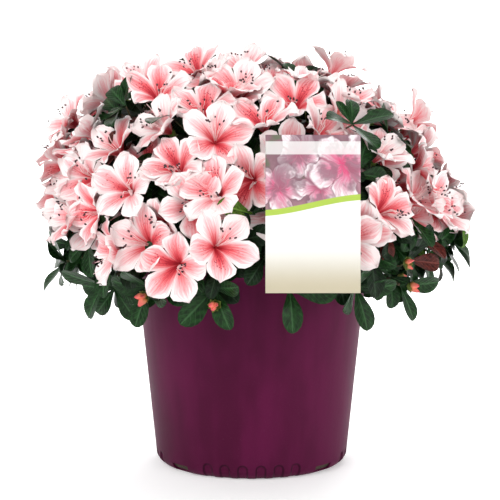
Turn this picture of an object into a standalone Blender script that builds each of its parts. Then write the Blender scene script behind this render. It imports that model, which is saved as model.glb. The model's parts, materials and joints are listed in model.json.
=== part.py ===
"""Azalea shrub in full bloom, growing in a round nursery pot with a plant label.

Metres, +Z up, front towards -Y. The origin is the centre of the pot's flat underside.
The crown is a dome of thirteen masses about a hub: one on top, five round it and seven
round the lower edge. Planes through the hub part their cores, twigs and leaves. A bloom may
lean over such a plane, but crosses nothing of its neighbours.
"""

import math
import random

import bmesh
import bpy
from mathutils import Matrix, Vector
from mathutils.bvhtree import BVHTree

# ---- clearances -------------------------------------------------------------
GAP = 0.0003              # between neighbouring solids that touch on the real plant
LEAF_CLEARANCE = 0.0020   # between foliage and pot, limbs or label
CELL_GAP = 0.0007         # foliage stays this far inside the planes that part two masses

# ---- pot --------------------------------------------------------------------
POT_HEIGHT = 0.240
FOOT_RADIUS = 0.1175      # outside, just above the rounded foot
TOP_RADIUS = 0.1410       # outside, just below the rim
RIM_RADIUS = 0.1450
RIM_HEIGHT = 0.015
RIM_THICK = 0.0036
FOOT_ROUND = 0.012
WALL = 0.0022
POT_STEPS = 40
NOTCH_COUNT = 4           # drainage notches, on the diagonals
NOTCH_WIDTH = 0.026
NOTCH_HEIGHT = 0.010
NOTCH_FROM_RADIUS = 0.108

# ---- potting mix ------------------------------------------------------------
SOIL_LEVEL = 0.222

# ---- trunk and boughs -------------------------------------------------------
# heights above the mix and radii, from the root flare up to the fork
TRUNK_SHAPE = ((0.0, 0.0200), (0.006, 0.0155), (0.020, 0.0132), (0.046, 0.0120))
TRUNK_HEIGHT = TRUNK_SHAPE[-1][0]
FLARE_HEIGHT = TRUNK_SHAPE[1][0]
TRUNK_LEAN = Vector((0.004, -0.003, 0.0))
TRUNK_BEVEL = 3           # bevel resolution: ten sides
BOUGH_BEVEL = 1           # six sides
BOUGH_RADIUS = 0.0050
BOUGH_TIP_RADIUS = 0.0034
BOUGH_FROM = {"upper": 0.028, "lower": 0.012}   # heights on the trunk
BOUGH_BEND_AT = 0.45      # place of a bough's bend, as a share of its length
BOUGH_LIFT = 0.07         # rise of the bend, as a share of the same length
CROWN_BOUGH_STRAIGHT = 0.020
STEM_LENGTH = 0.008       # of a mass's stem between its bough and its core

# ---- crown ------------------------------------------------------------------
HUB = Vector((0.0, 0.0, 0.250))
# ring: elevation and azimuth (0 is the front) of its first mass, reach of each mass from the hub
RINGS = {
    "crown": (90.0, 0.0, (0.242,)),
    "upper": (44.0, 0.0, (0.252, 0.252, 0.258, 0.262, 0.274)),
    "lower": (4.0, 25.7, (0.252, 0.262, 0.258, 0.258, 0.260, 0.252, 0.254)),
}
REACH_BLEND = 14.0        # how sharply the reach changes from one mass to the next
# sprays that stand out of the dome: azimuth, elevation and how far
SPRAYS = ((-86.0, 34.0, 0.034), (84.0, 34.0, 0.014), (82.0, 12.0, 0.012))
SPRAY_BLEND = 40.0        # how sharply they stand out
CORE_AT = 0.57            # centre of a core, as a share of its mass's reach
CORE_RADIAL = 0.040
CORE_LATERAL = 0.034
CORE_SIDES = 7
CORE_RINGS = 5
LOW_CORE_LIFT = 0.020     # cores of the lower ring sit this much higher, clear of the rim

# ---- blooms -----------------------------------------------------------------
SITE_COUNT = 130
LOWEST_SITE = -4.0        # degrees of elevation
SITE_SPIN = 0.35          # radians that the spiral of sites is turned by
SIDE_LOWEST = 9.0         # the same at the two sides, where the crown starts higher
SIDE_SPREAD = 50.0        # degrees from straight sideways
LOBES = 5
LOBE_RADIUS = 0.0355
LOBE_SHOULDER = math.radians(15.0)
SINUS_RADIUS = 0.0230
SINUS_DROP = 0.0060
THROAT_DROP = 0.0150
TUBE_RADIUS = 0.0045
BLOOM_DEPTH = 0.0260      # from the mouth back to the tube
TRUSS_SIZE = 3
TRUSS_DEPTH = 0.052       # shoot tip below the mouths of its blooms
FACING_SPREAD = 0.55      # 0 faces straight out from the hub, 1 straight away from the shoot
MOUTH_DEPTHS = (0.006, 0.018)   # mouths below the dome's surface, which the lobes' tips reach
DRAW_BACK = 0.004         # step by which a bloom that doesn't fit is drawn back
BACK_STEPS = 6
SPIN_STEPS = 4
BLOOM_CLEARANCE = 1.03    # blooms of two masses stay apart also when one is this much wider
FIRST_SEED = 11
LEAF_SEED = 51

# ---- leaves -----------------------------------------------------------------
LEAF_LENGTH = 0.046
LEAF_WIDTH = 0.019
LEAF_THICK = 0.0012
LEAF_FOLD = 0.0025
LEAF_TRIES = 4            # tilts tried before a leaf that crosses a bloom is left out
LEAF_TILT = 0.16          # radians between two tries
LEAF_TEST_SHARES = (0.25, 0.4, 0.55, 0.7, 0.85, 1.0)   # points along a leaf where it is tested
LEAF_TEST_FACES = tuple((end, side, face) for end in (0, 5) for side in (6, 7) for face in (8, 9))
LEAF_MARGIN = 0.0005      # by which a leaf is tested larger than it is
LEAF_LENGTHS = (0.85, 1.1)     # range of a leaf's length, as a share of LEAF_LENGTH
LEAF_TURN = 0.25          # radians by which a leaf may stand off its even place in a whorl
LEAF_LEAN = 0.2           # radians by which its lean may differ from its whorl's
TRUSS_LEAVES = 2
WHORL_LEAVES = 5
WHORL_DEPTH = 0.026
TRUSS_LEAN = 1.05         # radians that a whorl's leaves lean out from their shoot
WHORL_LEAN = 1.0
SKIRT_LEAN = 0.85
# azimuth and elevation of the leafy shoots that carry no bloom and show between the trusses
LEAFY_BEARINGS = (
    (-45.0, 40.0), (36.0, 66.0), (27.0, 28.0), (79.0, 8.0), (-78.0, -1.0), (60.0, 32.0),
    (154.0, 24.0), (-120.0, 20.0), (-162.0, 10.0), (100.0, 62.0), (-108.0, 66.0), (140.0, 0.0),
)
SKIRT_COUNT = 17          # leafy shoots round the crown's lower edge
SKIRT_PARTING = 25.0      # degrees from straight sideways without them
SKIRT_ELEVATION = -9.0
SKIRT_REACH = 0.206
SKIRT_DROOP = 0.28
SKIRT_LEAVES = 4

# ---- twigs ------------------------------------------------------------------
TWIG_RADIUS = 0.0030
TWIG_TIP_RADIUS = 0.0020
TWIG_FROM = 0.25          # where a twig starts, as a share of the way from core to shoot
TWIG_TEST_SHARES = (0.5, 0.6, 0.7, 0.8, 0.9, 1.0)
TWIG_TEST_FACES = ((0, 6, 7),)
NODE_RADIUS = 0.0060      # the swelling that a whorl and its blooms spring from
NODE_START = 0.0006       # leaves and blooms start this far from its middle

# ---- label ------------------------------------------------------------------
CARD_WIDTH = 0.092
CARD_HEIGHT = 0.153
CARD_THICK = 0.0012
CARD_CENTRE = Vector((0.059, -0.235, 0.2908))
LEG_WIDTH = 0.010
FRONT_OF_CARD = 0.060     # depth in front of the card that is kept open
LEG_CARD_DROP = 0.010     # the leg meets the card's back this far below the rim
LEG_ON_RIM = 0.012        # length of the leg that lies over the rim, each side of its middle
LEG_FOOT = 0.008          # how far inside the rim the leg's foot stands

# ---- looks: colour and roughness --------------------------------------------
PLUM_PLASTIC = ((0.092, 0.011, 0.040), 0.45)
BARK_MIX = ((0.045, 0.026, 0.016), 0.95)
BARK = ((0.11, 0.065, 0.040), 0.85)
FOLIAGE = ((0.62, 0.30, 0.32), 0.60)
LABEL_CARD = ((0.80, 0.78, 0.72), 0.40)

SHARP_ANGLE = math.radians(35.0)     # edges sharper than this stay creased on round pieces
GOLDEN_ANGLE = math.pi * (3.0 - math.sqrt(5.0))
UP = Vector((0.0, 0.0, 1.0))


# ---- scene helpers ----------------------------------------------------------
def clear_scene():
    """Empty the open file."""
    for item in list(bpy.data.objects):
        bpy.data.objects.remove(item, do_unlink=True)
    for item in list(bpy.data.collections):
        bpy.data.collections.remove(item)


def new_collection(name):
    collection = bpy.data.collections.new(name)
    bpy.context.scene.collection.children.link(collection)
    return collection


def add_object(name, data, collection, matrix=None):
    obj = bpy.data.objects.new(name, data)
    collection.objects.link(obj)
    if matrix is not None:
        obj.matrix_world = matrix
    return obj


def mesh_of(name, build):
    """Mesh that the function build fills through a bmesh."""
    bm = bmesh.new()
    build(bm)
    mesh = bpy.data.meshes.new(name)
    bm.to_mesh(mesh)
    bm.free()
    return mesh


def paint(obj, look):
    """Give the object a Principled material of its own, from a look's colour and roughness."""
    colour, roughness = look
    made = bpy.data.materials.new(obj.name)
    made.use_nodes = True
    shader = made.node_tree.nodes["Principled BSDF"]
    shader.inputs["Base Color"].default_value = (*colour, 1.0)
    shader.inputs["Roughness"].default_value = roughness
    shader.inputs["Metallic"].default_value = 0.0
    made.diffuse_color = (*colour, 1.0)
    obj.data.materials.clear()
    obj.data.materials.append(made)


def evaluated_mesh(obj):
    """The object's mesh with its modifiers applied."""
    bpy.context.view_layer.update()
    graph = bpy.context.evaluated_depsgraph_get()
    return bpy.data.meshes.new_from_object(obj.evaluated_get(graph))


def apply_modifiers(obj):
    mesh = evaluated_mesh(obj)
    obj.modifiers.clear()
    obj.data = mesh


def shade_round(obj):
    """Shade a finished round piece smooth, but for its sharp edges."""
    obj.data.shade_smooth()
    obj.data.set_sharp_from_angle(angle=SHARP_ANGLE)


def curve_to_mesh(curve_object, collection):
    """Turn a curve object into a closed mesh object of the same name and place."""
    name = curve_object.name
    matrix = curve_object.matrix_world.copy()
    mesh = evaluated_mesh(curve_object)
    bpy.data.objects.remove(curve_object, do_unlink=True)
    bm = bmesh.new()
    bm.from_mesh(mesh)
    bmesh.ops.remove_doubles(bm, verts=bm.verts, dist=0.00001)
    bmesh.ops.recalc_face_normals(bm, faces=bm.faces)
    bm.to_mesh(mesh)
    bm.free()
    return add_object(name, mesh, collection, matrix)


def tube(name, points, radii, bevel, collection):
    """Round limb along points, as a closed mesh with its origin at the first of them."""
    curve = bpy.data.curves.new(name, "CURVE")
    curve.dimensions = "3D"
    curve.bevel_depth = 1.0
    curve.bevel_resolution = bevel
    curve.use_fill_caps = True
    spline = curve.splines.new("POLY")
    spline.points.add(len(points) - 1)
    for spot, place, radius in zip(spline.points, points, radii):
        spot.co = (*(place - points[0]), 1.0)
        spot.radius = radius
    placed = add_object(name, curve, collection, Matrix.Translation(points[0]))
    return curve_to_mesh(placed, collection)


def flat_shape(name, outline, thickness, matrix, collection):
    """Closed outline of 2D points, extruded evenly to both sides, as a closed mesh."""
    curve = bpy.data.curves.new(name, "CURVE")
    curve.dimensions = "2D"
    curve.fill_mode = "BOTH"
    curve.extrude = thickness / 2.0
    spline = curve.splines.new("POLY")
    spline.points.add(len(outline) - 1)
    spline.use_cyclic_u = True
    for spot, (x, y) in zip(spline.points, outline):
        spot.co = (x, y, 0.0, 1.0)
    return curve_to_mesh(add_object(name, curve, collection, matrix), collection)


def turned(name, profile, collection):
    """Solid of revolution about Z from (radius, height) points, outer side running down."""
    mesh = bpy.data.meshes.new(name)
    edges = [(i, i + 1) for i in range(len(profile) - 1)]
    mesh.from_pydata([(r, 0.0, z) for r, z in profile], edges, [])
    obj = add_object(name, mesh, collection)
    screw = obj.modifiers.new("turn", "SCREW")
    screw.steps = POT_STEPS
    screw.render_steps = POT_STEPS
    screw.use_merge_vertices = True
    screw.merge_threshold = 0.00002
    return obj


def boolean(obj, operation, operand):
    """Add an exact Boolean with an object or a whole collection."""
    modifier = obj.modifiers.new(operation.lower(), "BOOLEAN")
    modifier.operation = operation
    modifier.solver = "EXACT"
    if isinstance(operand, bpy.types.Collection):
        modifier.operand_type = "COLLECTION"
        modifier.collection = operand
    else:
        modifier.object = operand
    return modifier


def hide_cutter(obj):
    """Keep a cutter out of the model."""
    obj.hide_render = True
    obj.display_type = "WIRE"


# ---- pot and potting mix ----------------------------------------------------
def wall_radius(height):
    """Outside radius of the tapered wall."""
    share = (height - FOOT_ROUND) / (POT_HEIGHT - RIM_HEIGHT - FOOT_ROUND)
    return FOOT_RADIUS + (TOP_RADIUS - FOOT_RADIUS) * share


def foot_arc(radius, steps=2):
    """Quarter round of the foot, from the wall down to the underside."""
    for step in range(steps + 1):
        angle = math.pi / 2.0 * step / steps
        yield (FOOT_RADIUS - FOOT_ROUND + radius * math.cos(angle), FOOT_ROUND - radius * math.sin(angle))


def make_pot(parts, cutters):
    """A thin tapered wall with a rolled rim, a rounded foot and notches that drain it."""
    lip = POT_HEIGHT - RIM_HEIGHT
    soften = RIM_THICK / 3.0
    inside = list(foot_arc(FOOT_ROUND - WALL))
    inside.reverse()
    profile = [(0.0, WALL)] + inside
    profile += [
        (wall_radius(lip) - WALL, lip),
        (RIM_RADIUS - RIM_THICK, lip + RIM_THICK),
        (RIM_RADIUS - RIM_THICK, POT_HEIGHT),
        (RIM_RADIUS - soften, POT_HEIGHT),
        (RIM_RADIUS, POT_HEIGHT - soften),
        (RIM_RADIUS, lip),
        (wall_radius(lip), lip),
    ]
    profile += list(foot_arc(FOOT_ROUND))
    profile.append((0.0, 0.0))
    pot = turned("pot", profile, parts)
    for index in range(NOTCH_COUNT):
        turn = Matrix.Rotation(math.radians(45.0) + math.tau * index / NOTCH_COUNT, 4, "Z")
        reach = RIM_RADIUS - NOTCH_FROM_RADIUS
        bpy.ops.mesh.primitive_cube_add(size=1.0)
        notch = bpy.context.object
        notch.name = f"notch_cutter_{index + 1}"
        notch.data.transform(Matrix.Diagonal((reach, NOTCH_WIDTH, 2.0 * NOTCH_HEIGHT, 1.0)))
        notch.matrix_world = turn @ Matrix.Translation((NOTCH_FROM_RADIUS + reach / 2.0, 0.0, 0.0))
        for owner in list(notch.users_collection):
            owner.objects.unlink(notch)
        cutters.objects.link(notch)
        hide_cutter(notch)
        boolean(pot, "DIFFERENCE", notch)
    apply_modifiers(pot)
    shade_round(pot)
    paint(pot, PLUM_PLASTIC)


def make_potting_mix(parts):
    """The mix that fills the pot to below its rim."""
    inside = WALL + GAP
    profile = [(0.0, SOIL_LEVEL), (wall_radius(SOIL_LEVEL) - inside, SOIL_LEVEL)]
    profile += list(foot_arc(FOOT_ROUND - inside))
    profile.append((0.0, inside))
    mix = turned("potting_mix", profile, parts)
    apply_modifiers(mix)
    shade_round(mix)
    paint(mix, BARK_MIX)


# ---- the crown's plan -------------------------------------------------------
def bearing(azimuth, elevation):
    """Unit direction from the hub; azimuth 0 is the front and grows towards +X."""
    turn, rise = math.radians(azimuth), math.radians(elevation)
    return Vector((math.sin(turn) * math.cos(rise), -math.cos(turn) * math.cos(rise), math.sin(rise)))


def crown_plan():
    """The masses, each with its name, ring, axis from the hub and reach."""
    masses = []
    for ring, (elevation, first, reaches) in RINGS.items():
        for index, reach in enumerate(reaches):
            azimuth = first + 360.0 * index / len(reaches)
            suffix = "" if len(reaches) == 1 else f"_{index + 1}"
            masses.append({"name": ring + suffix, "ring": ring, "axis": bearing(azimuth, elevation),
                           "reach": reach, "azimuth": azimuth})
    for mass in masses:
        others = [other["axis"] for other in masses if other is not mass]
        mass["walls"] = [(axis - mass["axis"]).normalized() for axis in others]
        centre = HUB + mass["axis"] * mass["reach"] * CORE_AT
        if mass["ring"] == "lower":
            centre += UP * LOW_CORE_LIFT
        mass["core"] = centre
    return masses


def reach_at(direction, masses):
    """Reach of the surface: a blend of the masses' reaches round about, and the sprays."""
    weights = [math.exp(REACH_BLEND * direction.dot(mass["axis"])) for mass in masses]
    dome = sum(w * mass["reach"] for w, mass in zip(weights, masses)) / sum(weights)
    sprays = [rise * math.exp(SPRAY_BLEND * (direction.dot(bearing(azimuth, elevation)) - 1.0))
              for azimuth, elevation, rise in SPRAYS]
    return dome + sum(sprays)


def from_sideways(direction):
    """Degrees between straight sideways and the direction, seen from above."""
    return math.degrees(math.atan2(abs(direction.y), abs(direction.x)))


def owner_of(direction, masses):
    """The mass whose side of all the planes the direction lies on."""
    return max(masses, key=lambda mass: direction.dot(mass["axis"]))


def deal_sites(masses):
    """Deal bloom sites evenly over the dome on a golden spiral; leafy shoots take some of them."""
    lowest = math.sin(math.radians(LOWEST_SITE))
    for mass in masses:
        mass["sites"] = []
        mass["leafy"] = []
    for index in range(SITE_COUNT):
        height = 1.0 - (1.0 - lowest) * (index + 0.5) / SITE_COUNT
        turn = index * GOLDEN_ANGLE + SITE_SPIN
        flat = math.sqrt(1.0 - height * height)
        site = Vector((math.sin(turn) * flat, -math.cos(turn) * flat, height))
        owner_of(site, masses)["sites"].append(site)
    for azimuth, elevation in LEAFY_BEARINGS:
        spot = bearing(azimuth, elevation)
        mass = owner_of(spot, masses)
        nearest = max(mass["sites"], key=spot.dot)
        mass["sites"].remove(nearest)
        mass["leafy"].append(nearest)
    for mass in masses:
        mass["sites"] = [site for site in mass["sites"] if from_sideways(site) > SIDE_SPREAD
                         or site.z > math.sin(math.radians(SIDE_LOWEST))]


def group_sites(mass):
    """Cut a mass's sites into trusses of about three, by their bearing round its axis."""
    axis = mass["axis"]
    side = axis.cross(UP if abs(axis.z) < 0.9 else Vector((0.0, 1.0, 0.0))).normalized()
    other = axis.cross(side)
    ordered = sorted(mass["sites"], key=lambda site: math.atan2(site.dot(other), site.dot(side)))
    count = max(1, round(len(ordered) / TRUSS_SIZE))
    return [ordered[len(ordered) * i // count:len(ordered) * (i + 1) // count] for i in range(count)]


# ---- what foliage keeps clear of --------------------------------------------
def clear_of_pot(point):
    """True outside the pot, and inside it over the mix."""
    across = math.hypot(point.x, point.y)
    if point.z > POT_HEIGHT + LEAF_CLEARANCE or across > RIM_RADIUS + LEAF_CLEARANCE:
        return True
    inner = wall_radius(SOIL_LEVEL) - WALL - LEAF_CLEARANCE
    return across < inner and point.z > SOIL_LEVEL + LEAF_CLEARANCE


def leg_path():
    """Middle line of the leg's edge, (y, z): card, over the rim, and down to the potting mix."""
    over = POT_HEIGHT + GAP + CARD_THICK / 2.0
    rim = -math.sqrt(RIM_RADIUS ** 2 - CARD_CENTRE.x ** 2)
    foot = SOIL_LEVEL + GAP + CARD_THICK / 2.0
    return [(CARD_CENTRE.y, POT_HEIGHT - LEG_CARD_DROP), (rim - LEG_ON_RIM, over),
            (rim + LEG_ON_RIM, over), (rim + LEG_ON_RIM + LEG_FOOT, foot)]


def label_boxes():
    """Boxes that foliage keeps out of: on and in front of the card, and round the leg."""
    wide = CARD_WIDTH / 2.0 + LEAF_CLEARANCE
    tall = CARD_HEIGHT / 2.0 + LEAF_CLEARANCE
    behind = CARD_THICK / 2.0 + LEAF_CLEARANCE
    low = CARD_CENTRE + Vector((-wide, -FRONT_OF_CARD, -tall))
    high = CARD_CENTRE + Vector((wide, behind, tall))
    half = LEG_WIDTH / 2.0 + LEAF_CLEARANCE
    top = POT_HEIGHT + CARD_THICK + LEAF_CLEARANCE
    leg = (Vector((CARD_CENTRE.x - half, CARD_CENTRE.y, POT_HEIGHT - LEG_CARD_DROP - LEAF_CLEARANCE)),
           Vector((CARD_CENTRE.x + half, leg_path()[-1][0] + LEAF_CLEARANCE, top)))
    return [(low, high), leg]


def clear_of_label(point):
    """True outside the label's boxes."""
    return not any(all(low[i] < point[i] < high[i] for i in range(3)) for low, high in label_boxes())


def box_tree(low, high):
    """The faces of a box, to test whether others cut them."""
    spans = list(zip(low, high))
    corners = [Vector((x, y, z)) for x in spans[0] for y in spans[1] for z in spans[2]]
    faces = [(0, 1, 3, 2), (4, 5, 7, 6), (0, 1, 5, 4), (2, 3, 7, 6), (0, 2, 6, 4), (1, 3, 7, 5)]
    return BVHTree.FromPolygons(corners, faces)


def clear_of_limbs(point, limbs):
    """True where the point is clear of every limb, each a line with a radius."""
    for start, end, radius in limbs:
        along = end - start
        share = max(0.0, min(1.0, (point - start).dot(along) / along.length_squared))
        if (point - start - along * share).length < radius + LEAF_CLEARANCE:
            return False
    return True


# ---- growth rule ------------------------------------------------------------
def frame_about(direction, spin):
    """Rotation that takes +Z to the direction, turned about it by the spin."""
    return direction.to_track_quat("Z", "Y").to_matrix() @ Matrix.Rotation(spin, 3, "Z")


def bloom_points(mouth, facing, spin):
    """Rim of the bloom, a sinus and two shoulders a lobe, then its tube ring and throat."""
    turn = frame_about(facing, spin)
    rim, ring = [], []
    for lobe in range(LOBES):
        middle = math.tau * lobe / LOBES
        for angle, radius, height in (
            (middle - math.pi / LOBES, SINUS_RADIUS, -SINUS_DROP),
            (middle - LOBE_SHOULDER, LOBE_RADIUS, 0.0),
            (middle + LOBE_SHOULDER, LOBE_RADIUS, 0.0),
        ):
            rim.append(mouth + turn @ Vector((radius * math.cos(angle), radius * math.sin(angle), height)))
        across = TUBE_RADIUS * math.cos(middle), TUBE_RADIUS * math.sin(middle)
        ring.append(mouth + turn @ Vector((*across, -BLOOM_DEPTH)))
    return rim + ring + [mouth - facing * THROAT_DROP]


def funnel_faces():
    """Triangles between the points of a bloom: all but the tail that closes it behind."""
    throat = 4 * LOBES
    faces = []
    for lobe in range(LOBES):
        sinus, left, right = 3 * lobe, 3 * lobe + 1, 3 * lobe + 2
        next_sinus = (sinus + 3) % (3 * LOBES)
        here, after = 3 * LOBES + lobe, 3 * LOBES + (lobe + 1) % LOBES
        faces += [(throat, sinus, left), (throat, left, right), (throat, right, next_sinus)]
        faces += [(here, left, sinus), (here, right, left)]
        faces += [(here, next_sinus, right), (here, after, next_sinus)]
    return faces


def bloom_faces():
    """The funnel's faces and the tail that closes it, from its foot, which is the last point."""
    foot = 4 * LOBES + 1
    tail = [(foot, 3 * LOBES + (lobe + 1) % LOBES, 3 * LOBES + lobe) for lobe in range(LOBES)]
    return funnel_faces() + tail


def leaf_points(root, direction, normal, length):
    """Points that stand for a leaf when its place is tested."""
    side = direction.cross(normal).normalized() * (LEAF_WIDTH / 2.0 + LEAF_MARGIN)
    middle = root + direction * length / 2.0
    rise = normal * (LEAF_THICK / 2.0 + LEAF_MARGIN)
    sunk = middle - normal * LEAF_FOLD
    spine = [root + direction * length * share for share in LEAF_TEST_SHARES]
    return spine + [middle + side, middle - side, sunk + rise, sunk - rise]


class Space:
    """What one mass's foliage may fill.

    All spaces share the list of what is placed: (mass, tree of faces) of the label and each bloom.
    """

    def __init__(self, mass, masses, limbs, placed):
        self.mass = mass
        self.masses = masses
        self.limbs = limbs
        self.placed = placed

    def within_walls(self, points):
        """True where all points keep to this mass's side of the planes."""
        walls = self.mass["walls"]
        return all((point - HUB).dot(wall) <= -CELL_GAP for point in points for wall in walls)

    def clear(self, points):
        """True where all points are clear of pot, label and limbs."""
        return all(clear_of_pot(point) and clear_of_label(point) and clear_of_limbs(point, self.limbs)
                   for point in points)

    def crosses(self, points, faces, others_only=False):
        """True where the faces cut the label or a bloom, which may have to be another mass's."""
        tree = BVHTree.FromPolygons(points, faces)
        return any(tree.overlap(other) for owner, other in self.placed
                   if not (others_only and owner is self.mass))

    def keep(self, points, faces):
        """Add a bloom to what is placed."""
        self.placed.append((self.mass, BVHTree.FromPolygons(points, faces)))


def whorl(tip, outward, count, lean, space, rng):
    """Leaves that spread about the outward direction from one shoot tip."""
    leaves = []
    start = rng.uniform(0.0, math.tau)
    for index in range(count):
        spin = start + math.tau * index / count + rng.uniform(-LEAF_TURN, LEAF_TURN)
        turn = frame_about(outward, spin)
        first_tilt = lean + rng.uniform(-LEAF_LEAN, LEAF_LEAN)
        length = LEAF_LENGTH * rng.uniform(*LEAF_LENGTHS)
        for attempt in range(LEAF_TRIES):
            tilt = first_tilt + LEAF_TILT * attempt
            direction = turn @ Vector((math.sin(tilt), 0.0, math.cos(tilt)))
            normal = turn @ Vector((-math.cos(tilt), 0.0, math.sin(tilt)))
            root = tip + direction * NODE_START
            points = leaf_points(root, direction, normal, length)
            if not (space.within_walls(points) and space.clear(points)):
                continue
            if not space.crosses(points, LEAF_TEST_FACES):
                leaves.append((root, direction, normal, length))
                break
    return leaves


def place_bloom(site, tip, space, rng):
    """A bloom at its site, drawn back or turned until it fits; None where it never does."""
    first_depth = rng.uniform(*MOUTH_DEPTHS)
    first_spin = rng.uniform(0.0, math.tau)
    second_best = None
    for back in range(BACK_STEPS):
        mouth = HUB + site * (reach_at(site, space.masses) - first_depth - DRAW_BACK * back)
        away = (mouth - tip).normalized()
        facing = (site * (1.0 - FACING_SPREAD) + away * FACING_SPREAD).normalized()
        if (mouth - tip).dot(facing) < BLOOM_DEPTH + NODE_RADIUS:
            break
        foot = tip + away * NODE_START
        for turn in range(SPIN_STEPS):
            spin = first_spin + turn * math.tau / LOBES / SPIN_STEPS
            points = bloom_points(mouth, facing, spin) + [foot]
            wider = [mouth + (point - mouth) * BLOOM_CLEARANCE for point in points]
            if not space.clear(points) or space.crosses(wider, bloom_faces(), others_only=True):
                continue
            bloom = (mouth, facing, spin, foot)
            if not space.crosses(points, funnel_faces()):
                space.keep(points, bloom_faces())
                return bloom
            second_best = second_best or (points, bloom)
    if second_best is None:
        return None
    space.keep(second_best[0], bloom_faces())
    return second_best[1]


def grow_blooms(mass, space, rng):
    """Trusses of one mass: shoot tips with the blooms that open round them."""
    shoots, blooms, whorls = [], [], []
    for truss in group_sites(mass):
        middle = sum(truss, Vector()).normalized()
        tip = HUB + middle * (reach_at(middle, space.masses) - TRUSS_DEPTH)
        found = [place_bloom(site, tip, space, rng) for site in truss]
        shoots.append(tip)
        blooms += [bloom for bloom in found if bloom]
        whorls.append((tip, middle, TRUSS_LEAVES, TRUSS_LEAN))
    return {"shoots": shoots, "blooms": blooms, "whorls": whorls}


def grow_leaves(mass, plan, space, rng):
    """Leaves of one mass, under its blooms, on its bloomless shoots and on the crown's skirt."""
    leaves = []
    for tip, outward, count, lean in plan["whorls"]:
        leaves += whorl(tip, outward, count, lean, space, rng)
    more = [(HUB + spot * (reach_at(spot, space.masses) - WHORL_DEPTH), spot, WHORL_LEAVES, WHORL_LEAN)
            for spot in mass["leafy"]]
    for index in range(SKIRT_COUNT):
        spot = bearing(360.0 * (index + 0.5) / SKIRT_COUNT, SKIRT_ELEVATION)
        if owner_of(spot, space.masses) is mass and from_sideways(spot) > SKIRT_PARTING:
            outward = (spot - UP * SKIRT_DROOP).normalized()
            more.append((HUB + spot * SKIRT_REACH, outward, SKIRT_LEAVES, SKIRT_LEAN))
    for tip, outward, count, lean in more:
        along = [mass["core"].lerp(tip, share) for share in TWIG_TEST_SHARES]
        side = outward.cross(tip - mass["core"]).normalized() * TWIG_RADIUS
        blade = along + [tip + side, tip - side]
        if space.within_walls(along) and space.clear(along) and not space.crosses(blade, TWIG_TEST_FACES):
            plan["shoots"].append(tip)
            leaves += whorl(tip, outward, count, lean, space, rng)
    plan["leaves"] = leaves


def grow_crown(masses, limbs):
    """Each mass's shoots, blooms and leaves: all the blooms first, then the leaves between them."""
    placed = [(None, box_tree(*box)) for box in label_boxes()]
    spaces = [Space(mass, masses, limbs, placed) for mass in masses]
    plans = [grow_blooms(mass, space, random.Random(FIRST_SEED + index))
             for index, (mass, space) in enumerate(zip(masses, spaces))]
    for index, (mass, space, plan) in enumerate(zip(masses, spaces, plans)):
        grow_leaves(mass, plan, space, random.Random(LEAF_SEED + index))
    return plans


# ---- limbs ------------------------------------------------------------------
def trunk_point(height):
    """Point on the trunk's leaning axis, that height above the potting mix."""
    share = max(0.0, height - FLARE_HEIGHT) / (TRUNK_HEIGHT - FLARE_HEIGHT)
    return UP * (SOIL_LEVEL + GAP + height) + TRUNK_LEAN * share * share


def bough_path(mass):
    """From the trunk's axis or its top, by one bend, to just short of the mass's core."""
    if mass["ring"] == "crown":
        top = trunk_point(TRUNK_HEIGHT)
        along = (top - trunk_point(TRUNK_SHAPE[-2][0])).normalized()
        start = top + along * GAP
        bend = start + along * CROWN_BOUGH_STRAIGHT
    else:
        start = trunk_point(BOUGH_FROM[mass["ring"]])
        line = mass["core"] - start
        bend = start + line * BOUGH_BEND_AT + UP * line.length * BOUGH_LIFT
    inward = (bend - mass["core"]).normalized()
    return [start, bend, mass["core"] + inward * (CORE_RADIAL + STEM_LENGTH)]


def bough_limbs(mass):
    """The bough's two straight lengths, each (start, end, radius), for foliage to keep clear of."""
    start, bend, end = bough_path(mass)
    return [(start, bend, BOUGH_RADIUS), (bend, end, BOUGH_RADIUS)]


def make_trunk(parts, cutters):
    """The leaning stem with its root flare; returns the cutter that boughs are cut back by."""
    path = [trunk_point(height) for height, _ in TRUNK_SHAPE]
    trunk = tube("trunk", path, [radius for _, radius in TRUNK_SHAPE], TRUNK_BEVEL, parts)
    shade_round(trunk)
    paint(trunk, BARK)
    grown = [radius + GAP for _, radius in TRUNK_SHAPE]
    cutter = tube("trunk_cutter", path, grown, TRUNK_BEVEL, cutters)
    hide_cutter(cutter)
    return cutter


def make_bough(mass, cutter, parts):
    """One tapering limb from the trunk's side or top to a mass."""
    radii = (BOUGH_RADIUS, (BOUGH_RADIUS + BOUGH_TIP_RADIUS) / 2.0, BOUGH_TIP_RADIUS)
    bough = tube("bough_" + mass["name"], bough_path(mass), radii, BOUGH_BEVEL, parts)
    if mass["ring"] != "crown":
        boolean(bough, "DIFFERENCE", cutter)
        apply_modifiers(bough)
    shade_round(bough)
    paint(bough, BARK)


# ---- solids of a mass -------------------------------------------------------
def unit_sphere(sides, rings):
    """Sphere of radius one with few faces; four sides and two rings make an octahedron."""
    def build(bm):
        bmesh.ops.create_uvsphere(bm, u_segments=sides, v_segments=rings, radius=1.0)
    return mesh_of("sphere", build)


def leaf_mesh():
    """A folded blade of eight faces along +Y, from the root at the origin, one unit long."""
    blade = unit_sphere(4, 2)
    size = Matrix.Diagonal((LEAF_WIDTH / LEAF_LENGTH / 2.0, 0.5, LEAF_THICK / LEAF_LENGTH / 2.0, 1.0))
    blade.transform(Matrix.Translation((0.0, 0.5, 0.0)) @ size)
    for vert in blade.vertices:
        if abs(vert.co.x) < 0.001 and 0.1 < vert.co.y < 0.9:
            vert.co.z -= LEAF_FOLD / LEAF_LENGTH
    return blade


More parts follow.
